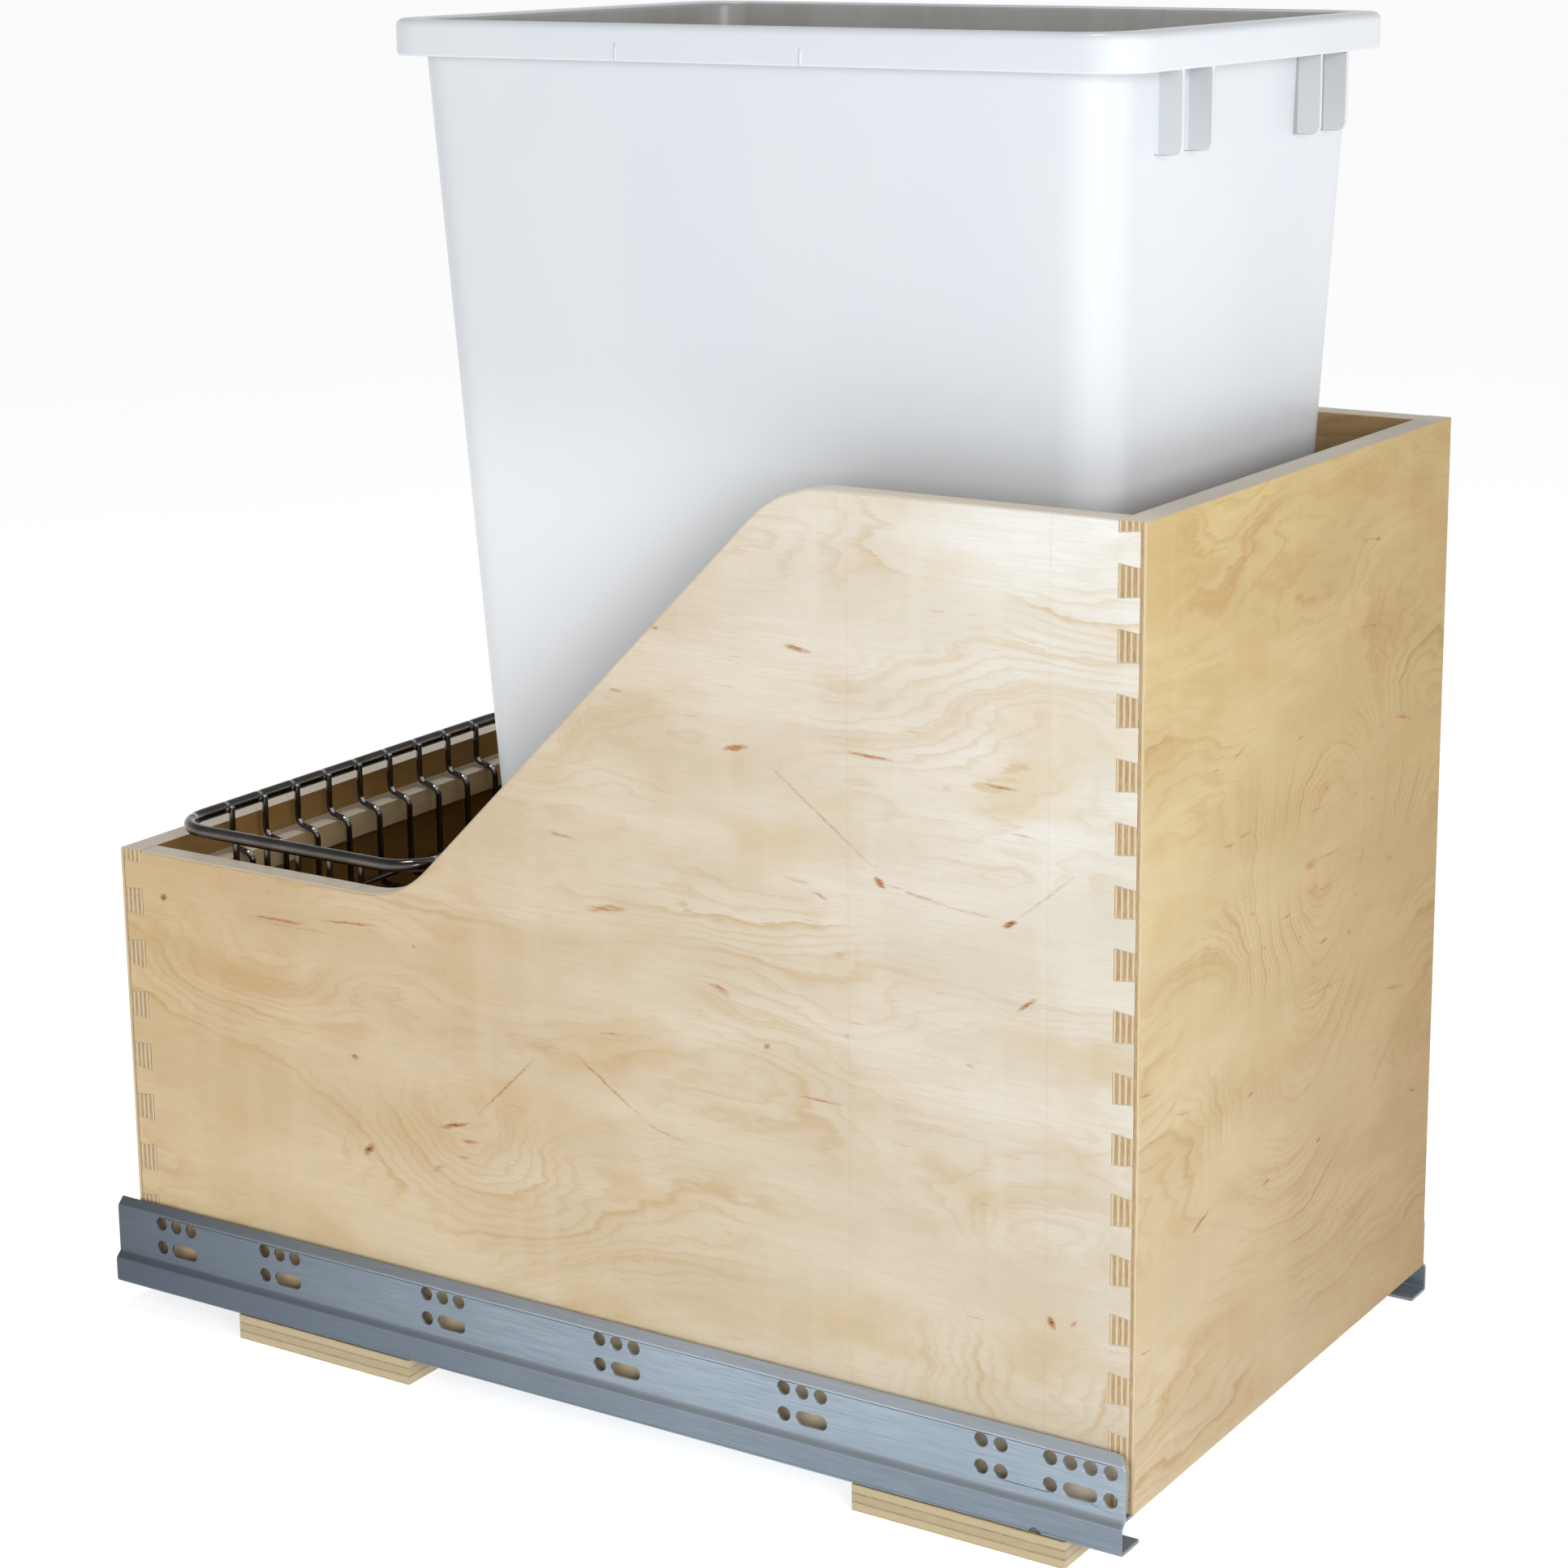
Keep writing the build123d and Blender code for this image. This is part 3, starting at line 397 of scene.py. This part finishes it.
def bin_look():
    """White polyethylene, with painted shade on the inside and on the sides of the gussets, and painted light
    on the lower body.
    """
    m = Material("bin_plastic")
    low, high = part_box("bin")
    middle, top = (low.y + high.y) * 500, high.z * 1000
    place = m.place()
    x, y, z = m.split(place)
    nx, ny, _ = m.split(m.normal())
    texture = m.noise(m.scaled(place, 0.5, 0.5, 0.5), detail=3.0)
    flow = m.noise(m.scaled(place, 0.012, 0.012, 0.006), detail=2.0)
    tone = m.mix(m.remap(flow, 0.3, 0.7), rgb(223, 227, 232), rgb(219, 224, 230))

    along = m.math("SUBTRACT", y, middle)
    outward = m.math("MULTIPLY_ADD", along, ny, m.math("MULTIPLY", x, nx))
    inside = m.math("MULTIPLY", m.math("LESS_THAN", outward, -2.0), m.math("LESS_THAN", z, top - 0.8))
    # painted shade on the faces inside the bin, below the rim's top
    streaks = m.noise(m.scaled(place, 0.09, 0.09, 0.004), detail=2.0)
    shaded = m.mix(m.remap(streaks, 0.3, 0.7), rgb(170, 169, 164), rgb(179, 178, 174))
    tone = m.mix(inside, tone, shaded)

    # painted shade on the sides of the gussets, under the rim
    sideways = m.math("GREATER_THAN", m.math("ABSOLUTE", nx), 0.8)
    past_wall = m.math("GREATER_THAN", m.math("ABSOLUTE", along), BIN_TOP_HALF[1] + 0.3)
    under_rim = m.math("LESS_THAN", z, top - RIM_HEIGHT - 0.6)
    shaded_gusset_side = m.math("MULTIPLY", m.math("MULTIPLY", sideways, past_wall), under_rim)
    tone = m.mix(shaded_gusset_side, tone, rgb(204, 207, 210))
    # painted light on the lower body, full below 390 mm and gone by 475 mm
    tone = m.mix(m.remap(z, 390.0, 475.0, 0.85, 0.0), tone, rgb(241, 244, 247))
    _, roughness = scuffed(m, place, texture, 0.28, 0.32, 0.02)
    return m.set(Base_Color=tone, Roughness=roughness, Normal=m.bump(texture, 0.00001, 0.2))


def nickel(name):
    """Nickel-plated wire, darkened as a painted reflection of dark surroundings, with painted glints on the
    bends and where wires meet the frame.
    """
    m = Material(name, Metallic=1.0)
    low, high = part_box("basket_frame")
    level = (low.z + high.z) * 500
    place = m.place()
    x, y, z = m.split(place)
    upward = m.split(m.normal())[2]
    drawn = m.noise(m.scaled(place, 0.5, 0.5, 0.5), detail=3.0)
    cloud = m.noise(m.scaled(place, 0.06, 0.06, 0.06), detail=2.0)
    # a dark base: painted reflection of dark surroundings
    tone = m.mix(m.remap(cloud, 0.3, 0.7), rgb(96, 91, 87), rgb(112, 107, 103))
    tone = m.mix(m.remap(drawn, 0.55, 0.8, 0.0, 0.4), tone, rgb(72, 67, 63))

    # painted glints: bright spots on the frame's top where wires meet it, and on the tops of the bends
    from_wire = m.math("PINGPONG", m.math("ADD", x, 10 * WIRE_SPACING), WIRE_SPACING / 2)
    on_wire = m.remap(from_wire, 0.5, 1.6, 1.0, 0.0)
    on_top = m.math("MULTIPLY", m.remap(z, level - 1.0, level + 1.0), m.remap(upward, 0.45, 0.75))
    weld_glints = m.math("MULTIPLY", on_wire, on_top)

    from_middle = m.math("ABSOLUTE", m.math("SUBTRACT", y, (low.y + high.y) * 500))
    wall = (high.y - low.y) * 500 - FRAME_RADIUS - WIRE_INSET
    upper = m.math("ABSOLUTE", m.math("SUBTRACT", from_middle, wall - 1.6))
    lower = m.math("ABSOLUTE", m.math("SUBTRACT", from_middle, wall - 10.6))
    at_bend = m.remap(m.math("MINIMUM", upper, lower), 0.7, 1.8, 1.0, 0.0)
    height = m.math("ABSOLUTE", m.math("SUBTRACT", z, level - 19.0))
    facing_up = m.math("MULTIPLY", m.remap(height, 3.5, 5.0, 1.0, 0.0), m.remap(upward, 0.25, 0.6))
    bend_glints = m.math("MULTIPLY", at_bend, facing_up)
    painted_glints = m.math("MAXIMUM", weld_glints, bend_glints)
    tone = m.mix(m.math("MULTIPLY", painted_glints, 0.85), tone, rgb(238, 240, 244))
    roughness = m.remap(drawn, 0.3, 0.75, 0.12, 0.2)
    return m.set(Base_Color=tone, Roughness=roughness, Normal=m.bump(drawn, 0.00003, 0.2))


# ---- finishes on the CAD nodes -----------------------------------------------------------------
def millimetres(node, axis):
    """The node's extent on one axis, in the veneer's x, depth and height."""
    low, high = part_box(node)
    shift = (0.0, FRONT_EDGE, -BOX_BOTTOM)[axis]
    return low[axis] * 1000 + shift, high[axis] * 1000 + shift


def finish_node(node, material, smooth=True):
    """Gives a CAD node its material and its shading."""
    mesh = nodes[node].data
    mesh.materials.clear()
    mesh.materials.append(material)
    mesh.polygons.foreach_set("use_smooth", [smooth] * len(mesh.polygons))


def ease(node, width):
    """Small rounded edges on a CAD node."""
    piece = nodes[node]
    weld = piece.modifiers.new("weld", "WELD")
    weld.merge_threshold = 1e-6
    bevel = piece.modifiers.new("bevel", "BEVEL")
    bevel.width, bevel.segments = width, 2
    bevel.limit_method, bevel.angle_limit = "ANGLE", math.radians(32)
    bevel.use_clamp_overlap = False
    piece.modifiers.new("normals", "WEIGHTED_NORMAL").keep_sharp = True


# corner colours, start low, start high, end low, end high: the wood's tone with painted light on it; on the
# sides a painted sheen at the front top and painted shade at the rear, on the faces painted shade at the low
# right
SIDE_TONES_AND_LIGHT = (rgb(218, 198, 160), rgb(206, 172, 115), rgb(213, 204, 188), rgb(240, 243, 244))
FACE_TONES_AND_LIGHT = (rgb(208, 193, 163), rgb(209, 188, 132), rgb(168, 137, 76), rgb(187, 162, 103))
PLAIN = (rgb(208, 188, 148),) * 4
BOARD = {"plies": 3, "contrast": 0.3, "shade": rgb(229, 232, 230)}
# node, material, axis across the veneer, axis of the grain, corner tones with painted light, the rest of the
# look
PANELS = [
    ("side_panel_left", "veneer_left", 0, 1, SIDE_TONES_AND_LIGHT,
     {"inner": 1, "marks": LEFT_MARKS, "seams": (-133, -41),
      "eyes": [(-452, 150, 70, 24, 1.6), (-330, 100, 55, 50, 2.6), (-45, 62, 60, 80, 3.0)]}),
    ("side_panel_right", "veneer_right", 0, 1, SIDE_TONES_AND_LIGHT,
     {"inner": -1, "marks": RIGHT_MARKS, "eyes": [(-330, 120, 90, 40, 3.0)]}),
    ("front_panel", "veneer_front", 1, 0, FACE_TONES_AND_LIGHT,
     {"inner": 1, "marks": FRONT_MARKS, "figure": 0.7, "vigour": 0.75,
      "eyes": [(24, 218, 62, 72, 7.0), (-20, 120, 60, 50, 3.0)]}),
    ("rear_panel", "veneer_rear", 1, 0, FACE_TONES_AND_LIGHT,
     {"inner": -1, "marks": OTHER_MARKS, "eyes": [(-40, 90, 90, 40, 3.0)]}),
    ("bottom_panel", "veneer_bottom", 2, 1, PLAIN, {}),
    ("basket_ledge_front", "veneer_ledge_front", 1, 0, PLAIN, {"plies": 11}),
    ("basket_ledge_rear", "veneer_ledge_rear", 1, 0, PLAIN, {"plies": 11}),
    ("cross_board_front", "board_front", 2, 0, PLAIN, {"marks": OTHER_MARKS[:3], **BOARD}),
    ("cross_board_rear", "board_rear", 2, 0, PLAIN, {"marks": OTHER_MARKS[3:], **BOARD}),
]
for node, name, axis, grain, tones_and_light, look in PANELS:
    eased = node != "rear_panel"  # a bevel leaves dark creases across this one
    finish_node(node, plywood(name, axis, grain, millimetres(node, axis), tones_and_light, **look), smooth=eased)
    if eased:
        ease(node, 0.35 * MM)

slide_zinc = zinc("slide_zinc", rgb(168, 182, 194), rgb(142, 157, 171), rough=0.46, along=1, painted_rear_shade=0.85,
                  shoulder=26.4)
runner_zinc = zinc("runner_zinc", rgb(182, 192, 202), rgb(160, 171, 183), along=1)
hook_zinc = zinc("hook_zinc", rgb(196, 200, 204), rgb(172, 177, 182), rough=0.36)
nylon = plastic("nylon", rgb(230, 229, 222), rgb(218, 216, 206), 0.4)
lock_plastic = plastic("lock_plastic", rgb(116, 118, 121), rgb(104, 106, 110), 0.48, relief=0.00006)
lever_plastic = plastic("lever_plastic", rgb(64, 66, 69), rgb(54, 56, 59), 0.45, relief=0.00006)
bin_plastic = bin_look()
wire_nickel = nickel("wire_nickel")

# material and width of the rounded edges, mm
PAIRS = {
    "cabinet_member": (slide_zinc, 0.25), "middle_member": (runner_zinc, 0.2),
    "drawer_member": (runner_zinc, 0.2), "lower_cage": (nylon, 0.1), "upper_cage": (nylon, 0.1),
    "lock_housing": (lock_plastic, 0.5), "release_lever": (lever_plastic, 0.4),
    "height_wheel": (lever_plastic, 0.2)}
SINGLES = {
    "lower_rollers": (nylon, 0.3), "upper_rollers": (nylon, 0.3), "rear_hooks": (hook_zinc, 0.25),
    "lock_pins": (hook_zinc, 0.2)}
finished = {f"{name}_{side}": look for side in ("left", "right") for name, look in PAIRS.items()}
for node, (material, width) in (finished | SINGLES).items():
    finish_node(node, material)
    ease(node, width * MM)


# ---- mesh building ---------------------------------------------------------------------------
def make_piece(name, mesh, material, body, replaced=()):
    piece = bpy.data.objects.new(name, mesh)
    mesh.materials.append(material)
    scene.collection.objects.link(piece)
    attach(piece, body)
    if replaced:
        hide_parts(*replaced)
    return piece


def skin(bm, rings, capped=False):
    """Faces between successive closed rings of points."""
    made = [[bm.verts.new(p) for p in ring] for ring in rings]
    count = len(made[0])
    for first, second in zip(made, made[1:]):
        for k in range(count):
            n = (k + 1) % count
            bm.faces.new((first[k], first[n], second[n], second[k]))
    if capped:
        bm.faces.new(list(reversed(made[0])))
        bm.faces.new(made[-1])


def to_mesh(bm, name):
    bmesh.ops.recalc_face_normals(bm, faces=bm.faces)
    for face in bm.faces:
        face.smooth = True
    mesh = bpy.data.meshes.new(name)
    bm.to_mesh(mesh)
    bm.free()
    return mesh


def circle(centre, axes, size, sides):
    """A ring of points about the centre, in the plane of the two axes."""
    turn = [2 * math.pi * k / sides for k in range(sides)]
    return [centre + axes[0] * math.cos(a) * size + axes[1] * math.sin(a) * size for a in turn]


def tube(bm, points, radius, sides=12, closed=False):
    """A round wire along a fine run of points, with rounded ends unless it is closed."""
    points = [Vector(p) for p in points]
    last = len(points) - 1
    tangents = []
    for k in range(len(points)):
        if closed:
            before, after = points[k - 1], points[(k + 1) % len(points)]
        else:
            before, after = points[max(k - 1, 0)], points[min(k + 1, last)]
        tangents.append((after - before).normalized())
    normal = tangents[0].orthogonal().normalized()
    frames = []
    for tangent in tangents:
        normal = (normal - tangent * normal.dot(tangent)).normalized()
        frames.append((normal.copy(), tangent.cross(normal)))

    rings = [circle(p, f, radius, sides) for p, f in zip(points, frames)]
    if closed:
        rings.append(rings[0])
        skin(bm, rings)
        bmesh.ops.remove_doubles(bm, verts=bm.verts, dist=1e-7)
        return

    def dome(end, outward, angles):
        out = tangents[end] * outward * radius * 0.6
        return [circle(points[end] + out * math.sin(a), frames[end], radius * math.cos(a), sides)
                for a in angles]

    steps = [math.radians(a) for a in (82, 60, 35, 15)]
    skin(bm, dome(0, -1, steps) + rings + dome(-1, 1, steps[::-1]), capped=True)


def rounded(corners, radius, closed=False, step=6):
    """A fine run of points through corners, with an arc at each one."""
    corners = [Vector(c) for c in corners]
    count = len(corners)
    run = []
    for k, corner in enumerate(corners):
        if not closed and k in (0, count - 1):
            run.append(corner)
            continue
        back, ahead = corners[k - 1] - corner, corners[(k + 1) % count] - corner
        shorter = min(back.length, ahead.length)
        back.normalize()
        ahead.normalize()
        half = back.angle(ahead) / 2
        size = min(radius, 0.48 * math.tan(half) * shorter)
        centre = corner + (back + ahead).normalized() * size / math.sin(half)
        first = corner + back * size / math.tan(half) - centre
        last = corner + ahead * size / math.tan(half) - centre
        for s in range(step + 1):
            part = s / step
            run.append(centre + (first * (1 - part) + last * part).normalized() * size)
    return run


def bead(bm, centre, along, length, size):
    """A small weld: a swelling that thins out at both ends."""
    centre, along = Vector(centre), Vector(along).normalized()
    side = along.orthogonal().normalized()
    axes = side, along.cross(side)
    swelling = ((-1.0, 0.25), (-0.8, 0.65), (-0.4, 0.93), (0.0, 1.0), (0.4, 0.93), (0.8, 0.65),
                (1.0, 0.25))
    rings = [circle(centre + along * part * length / 2, axes, size * width, 10)
             for part, width in swelling]
    skin(bm, rings, capped=True)


# ---- bin -------------------------------------------------------------------------------------
def outline(half_x, half_y, radius, height, centre_y):
    """A rounded rectangle with extra points along its straight sides."""
    steps = 12
    points = []
    for sx, sy, start in ((1, 1, 0), (-1, 1, 90), (-1, -1, 180), (1, -1, 270)):
        for k in range(steps + 1):
            a = math.radians(start + 90 * k / steps)
            points.append(Vector((sx * (half_x - radius) + radius * math.cos(a),
                                  centre_y + sy * (half_y - radius) + radius * math.sin(a), height)))
    full = []
    for k, point in enumerate(points):
        full.append(point)
        if k % (steps + 1) == steps:
            after = points[(k + 1) % len(points)]
            full += [point.lerp(after, part) for part in (0.02, 0.1, 0.3, 0.5, 0.7, 0.9, 0.98)]
    return full


def quarter(size, steps=5):
    """A quarter round, as pairs of inset and rise."""
    turn = [math.radians(90 * k / steps) for k in range(steps + 1)]
    return [(size * (1 - math.cos(a)), size * (1 - math.sin(a))) for a in turn]


def add_gussets(bm, foot, top, middle_y, rim_y):
    """Thin plates under the rim of the short sides, with softened edges."""
    body_half = BIN_FOOT_HALF[1] + (BIN_TOP_HALF[1] - BIN_FOOT_HALF[1]) * GUSSET_FOOT / BIN_HEIGHT
    sunk = 1.2 * MM
    base, head = foot + GUSSET_FOOT * MM, top - 1.6 * MM
    for x in GUSSET_X:
        for toward in (-1, 1):
            wall_low = middle_y + toward * (body_half * MM - sunk)
            wall_high = middle_y + toward * (BIN_TOP_HALF[1] * MM - sunk)
            lip = middle_y + toward * (rim_y - sunk)
            profile = [(wall_low, base), (lip - toward * 3.5 * MM, base), (lip - toward * MM, base + 0.8 * MM),
                       (lip, base + 3 * MM), (lip, head), (wall_high, head)]
            centre_y, centre_z = (sum(p[k] for p in profile) / len(profile) for k in (0, 1))
            plate = []
            for shift, inset in ((1.2, 0.35), (0.85, 0.0), (-0.85, 0.0), (-1.2, 0.35)):
                loop = []
                for y, z in profile:
                    inward = Vector((0, centre_y - y, centre_z - z)).normalized()
                    loop.append(Vector(((x + shift) * MM, y, z)) + inward * inset * MM)
                plate.append(loop)
            skin(bm, plate, capped=True)


def add_ribs(bm, skirt, middle_y, rim_x):
    """Low ribs on the rim's long sides."""
    levels = ((0.4, 0.0), (1.6, 0.45), (5.0, 0.45), (7.5, 0.0))  # height and how proud, mm
    section = ((-1.0, None), (-0.6, 0.7), (0.0, 1.0), (0.6, 0.7), (1.0, None))
    for side in (-1, 1):
        for along in RIB_PLACES:
            place = middle_y + along * MM
            skin(bm, [[Vector((side * (rim_x + (-0.6 if part is None else proud * part) * MM),
                               place + across * MM, skirt + height * MM)) for across, part in section]
                      for height, proud in levels], capped=True)


def build_bin():
    low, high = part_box("bin")
    middle_y = (low.y + high.y) / 2
    rim_x, rim_y = (high.x - low.x) / 2, (high.y - low.y) / 2
    foot, top = low.z, high.z
    wall = BIN_WALL * MM
    skirt = top - RIM_HEIGHT * MM

    def body(height, inset):
        part = (height - foot) / (top - foot)
        half_x, half_y = ((start + (end - start) * part) * MM - inset
                          for start, end in zip(BIN_FOOT_HALF, BIN_TOP_HALF))
        return outline(half_x, half_y, BIN_RADIUS * MM - inset, height, middle_y)

    def rim(height, inset):
        return outline(rim_x - inset, rim_y - inset, BIN_RADIUS * MM - inset, height, middle_y)

    # the outside, from the foot up
    rings = [body(foot + 1.4 * MM, 16 * MM), body(foot + 1.4 * MM, 8 * MM), body(foot + 0.2 * MM, 6.5 * MM)]
    rings += [body(foot + up, inset) for inset, up in reversed(quarter(5 * MM))]
    rings += [body(foot + up * MM, 0) for up in (6, 14, 60, 180, 300, 420, 500)]
    # under the rim, over it and down to the inside
    under = top - wall
    rings += [body(under - 22 * MM, 0), body(under - 4 * MM, 0), body(under - 1.6 * MM, 0)]
    rings += [body(under - 0.5 * MM, -0.4 * MM), body(under, -1.4 * MM)]
    rings += [rim(under, wall + 1.2 * MM), rim(under - 0.4 * MM, wall + 0.3 * MM), rim(under - 1.4 * MM, wall)]
    rings += [rim(skirt + 1.0 * MM, wall), rim(skirt + 0.2 * MM, wall - 0.3 * MM), rim(skirt, wall - 1.0 * MM)]
    rings += [rim(skirt, 0.9 * MM), rim(skirt + 0.3 * MM, 0.3 * MM), rim(skirt + 1.0 * MM, 0)]
    rings += [rim(top - 4.2 * MM, 0)]
    rings += [rim(top - up, inset) for inset, up in quarter(3.2 * MM, 6)]
    rings += [rim(top, 4.6 * MM), body(top, wall - 2.6 * MM)]
    rings += [body(top - 0.35 * MM, wall - 0.9 * MM), body(top - 1.2 * MM, wall - 0.2 * MM)]
    # the inside, down to the floor
    rings += [body(top - down * MM, wall) for down in (2.4, 12, 60, 180, 300, 420, 500)]
    floor = foot + wall
    rings += [body(floor + 9 * MM, wall)]
    rings += [body(floor + up, wall + inset) for inset, up in quarter(8 * MM)[1:]]
    rings += [body(floor, wall + 14 * MM)]
    bm = bmesh.new()
    skin(bm, rings, capped=True)
    add_gussets(bm, foot, top, middle_y, rim_y)
    add_ribs(bm, skirt, middle_y, rim_x)
    piece = make_piece("bin_shell", to_mesh(bm, "bin_shell"), bin_plastic, "bin", ["bin"])
    piece.modifiers.new("normals", "WEIGHTED_NORMAL").keep_sharp = True


build_bin()


# ---- wire basket -----------------------------------------------------------------------------
def build_basket():
    low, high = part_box("basket_frame")
    frame_radius, inset, spacing = FRAME_RADIUS * MM, WIRE_INSET * MM, WIRE_SPACING * MM
    wire_radius, bend = 1.5 * MM, 4.5 * MM
    level = (low.z + high.z) / 2
    half, front, rear = high.x - frame_radius, low.y + frame_radius, high.y - frame_radius
    bm = bmesh.new()
    corners = [(half, rear, level), (-half, rear, level), (-half, front, level), (half, front, level)]
    tube(bm, rounded(corners, 22 * MM, closed=True, step=14), frame_radius, sides=18, closed=True)

    ends, floor = level + 0.6 * MM, level - 59 * MM
    columns = [spacing * (k - 4) for k in range(9)]

    def frame_weld(x, y, along):
        bead(bm, (x, y, level - 0.4 * MM), along, 5.2 * MM, 1.25 * MM)

    def floor_weld(x, y, z):
        bead(bm, (x, y, z), (1, 0, 0), 3.4 * MM, 0.8 * MM)

    # the wires that go down the long walls, step in for the ledges and cross the floor
    outer = rear - inset
    inner = outer - 11.8 * MM
    for x in columns:
        right = [(outer, ends), (outer, level - 18.4 * MM), (inner, level - 20.8 * MM), (inner, floor)]
        left = [(front + rear - y, z) for y, z in reversed(right)]
        tube(bm, rounded([(x, y, z) for y, z in right + left], bend), wire_radius)
        for y in (outer + 1.5 * MM, front + inset - 1.5 * MM):
            frame_weld(x, y, (1, 0, 0))

    # the wires that go down the short walls and run under the floor
    middle, under, side = (front + rear) / 2, floor - 2.8 * MM, half - inset
    for k in range(5):
        y = middle + 18.7 * MM * (k - 2)
        path = [(-side, y, ends), (-side, y, under), (side, y, under), (side, y, ends)]
        tube(bm, rounded(path, bend), wire_radius)
        for x in (side + 1.5 * MM, -side - 1.5 * MM):
            frame_weld(x, y, (0, 1, 0))
        for x in columns:
            floor_weld(x, y, floor - 1.4 * MM)

    # a long wire inside each foot of the long walls
    reach, height = spacing * 4 + 6 * MM, floor + bend
    for y, outward in ((front + inset + 14.6 * MM, -1), (inner - 2.8 * MM, 1)):
        tube(bm, [(-reach, y, height), (0, y, height), (reach, y, height)], wire_radius)
        for x in columns:
            floor_weld(x, y + outward * 1.4 * MM, height)
    stood_for = [n for n in nodes if n.startswith("basket_") and "ledge" not in n]
    make_piece("basket_wirework", to_mesh(bm, "basket_wirework"), wire_nickel, "basket", stood_for)


build_basket()


# ---- screws into the cross boards --------------------------------------------------------------
def lathe(bm, profile, centre, sides):
    """A solid of revolution about a vertical axis, from (radius, height) pairs."""
    axes = Vector((1, 0, 0)), Vector((0, 1, 0))
    rings = [circle(centre + Vector((0, 0, height)), axes, radius, sides) for radius, height in profile]
    skin(bm, rings, capped=True)


def build_screws():
    """Pan heads with a cross recess, above a threaded shank."""
    low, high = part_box("base_screws")
    head_radius, head = 4.0 * MM, 1.6 * MM
    depth_in_board = 71.6 * MM
    first, last = low.y + head_radius, high.y - head_radius
    dome = [(3.9, 0), (4.0, 0.25), (3.85, 0.75), (3.3, 1.2), (2.4, 1.48), (1.9, 1.55), (1.5, 1.5), (0.9, 0.8),
            (0.25, 0.5)]
    bm = bmesh.new()
    for x in (low.x + head_radius, high.x - head_radius):
        for y in (first, first + depth_in_board, last - depth_in_board, last):
            centre = Vector((x, y, high.z - head))
            lathe(bm, [(radius * MM, height * MM) for radius, height in dome], centre, sides=32)

            # the recess's four wings, cut as two crossed troughs
            for dx, dy in ((1.9 * MM, 0.42 * MM), (0.42 * MM, 1.9 * MM)):
                skin(bm, [[(x + sx * dx * part, y + sy * dy * part, high.z + height * MM)
                           for sx, sy in ((-1, -1), (1, -1), (1, 1), (-1, 1))]
                          for part, height in ((1.0, -0.02), (0.5, -1.02))])

            tip = low.z - centre.z
            shank = [(2.0 * MM, 0.0), (2.0 * MM, -1.5 * MM)]
            depth = -1.6 * MM
            while depth > tip + 2.0 * MM:
                shank += [(1.95 * MM, depth), (1.45 * MM, depth - 0.45 * MM), (1.95 * MM, depth - 0.9 * MM)]
                depth -= 0.95 * MM
            shank += [(1.2 * MM, depth - 0.5 * MM), (0.3 * MM, tip)]
            lathe(bm, shank, centre, sides=20)
    mesh = to_mesh(bm, "base_screw_set")
    piece = make_piece("base_screw_set", mesh, hook_zinc, "base", ["base_screws"])
    piece.modifiers.new("normals", "WEIGHTED_NORMAL").keep_sharp = True


build_screws()


# ---- floor, light and air --------------------------------------------------------------------
floor_mesh = bpy.data.meshes.new("floor")
bm = bmesh.new()
bmesh.ops.create_grid(bm, x_segments=16, y_segments=16, size=40.0)
bm.to_mesh(floor_mesh)
bm.free()
floor = bpy.data.objects.new("floor", floor_mesh)
floor.location = (0, 0, -0.0002)
floor_look = Material("floor_paper", Roughness=0.9, Specular_IOR_Level=0.1, Emission_Color=(1, 1, 1, 1),
                      Emission_Strength=0.70)
paper = floor_look.noise(floor_look.scaled(floor_look.place(), 0.004, 0.004, 0.004), detail=3.0)
floor_mesh.materials.append(floor_look.set(Base_Color=floor_look.mix(paper, grey(0.82), grey(0.84))))
scene.collection.objects.link(floor)

# a studio that is bright at the floor and dark overhead: height of the direction, brightness
STUDIO = ((0.0, 1.0), (0.14, 0.93), (0.45, 0.36), (1.0, 0.10))
world = bpy.data.worlds.new("studio")
world.use_nodes = True
air = world.node_tree
background = air.nodes["Background"]
direction = air.nodes.new("ShaderNodeSeparateXYZ")
air.links.new(air.nodes.new("ShaderNodeTexCoord").outputs["Generated"], direction.inputs[0])
wall = air.nodes.new("ShaderNodeValToRGB")
for place in (0.3, 0.55):
    wall.color_ramp.elements.new(place)
for element, (place, tone) in zip(wall.color_ramp.elements, STUDIO):
    element.position, element.color = place, (tone, tone * 1.004, tone * 1.01, 1.0)
air.links.new(direction.outputs[2], wall.inputs[0])
air.links.new(wall.outputs[0], background.inputs["Color"])
background.inputs["Strength"].default_value = 1.0
scene.world = world


def softbox(name, place, target, size, power):
    light = bpy.data.lights.new(name, "AREA")
    light.shape, light.size, light.size_y = "RECTANGLE", *size
    light.energy = power
    lamp = bpy.data.objects.new(name, light)
    lamp.location = place
    lamp.rotation_mode = "QUATERNION"
    lamp.rotation_quaternion = (Vector(target) - Vector(place)).to_track_quat("-Z", "Y")
    scene.collection.objects.link(lamp)


softbox("key", (-0.95, -1.35, 0.75), (0, -0.15, 0.3), (0.7, 0.7), 10.0)
softbox("strip_left", (-0.22, 0.2, 2.3), (-0.05, 0.1, 0.2), (0.12, 0.4), 4.5)
softbox("strip_right", (0.02, 0.2, 2.3), (0.0, 0.1, 0.2), (0.12, 0.4), 4.5)
scene.view_settings.view_transform = "Standard"
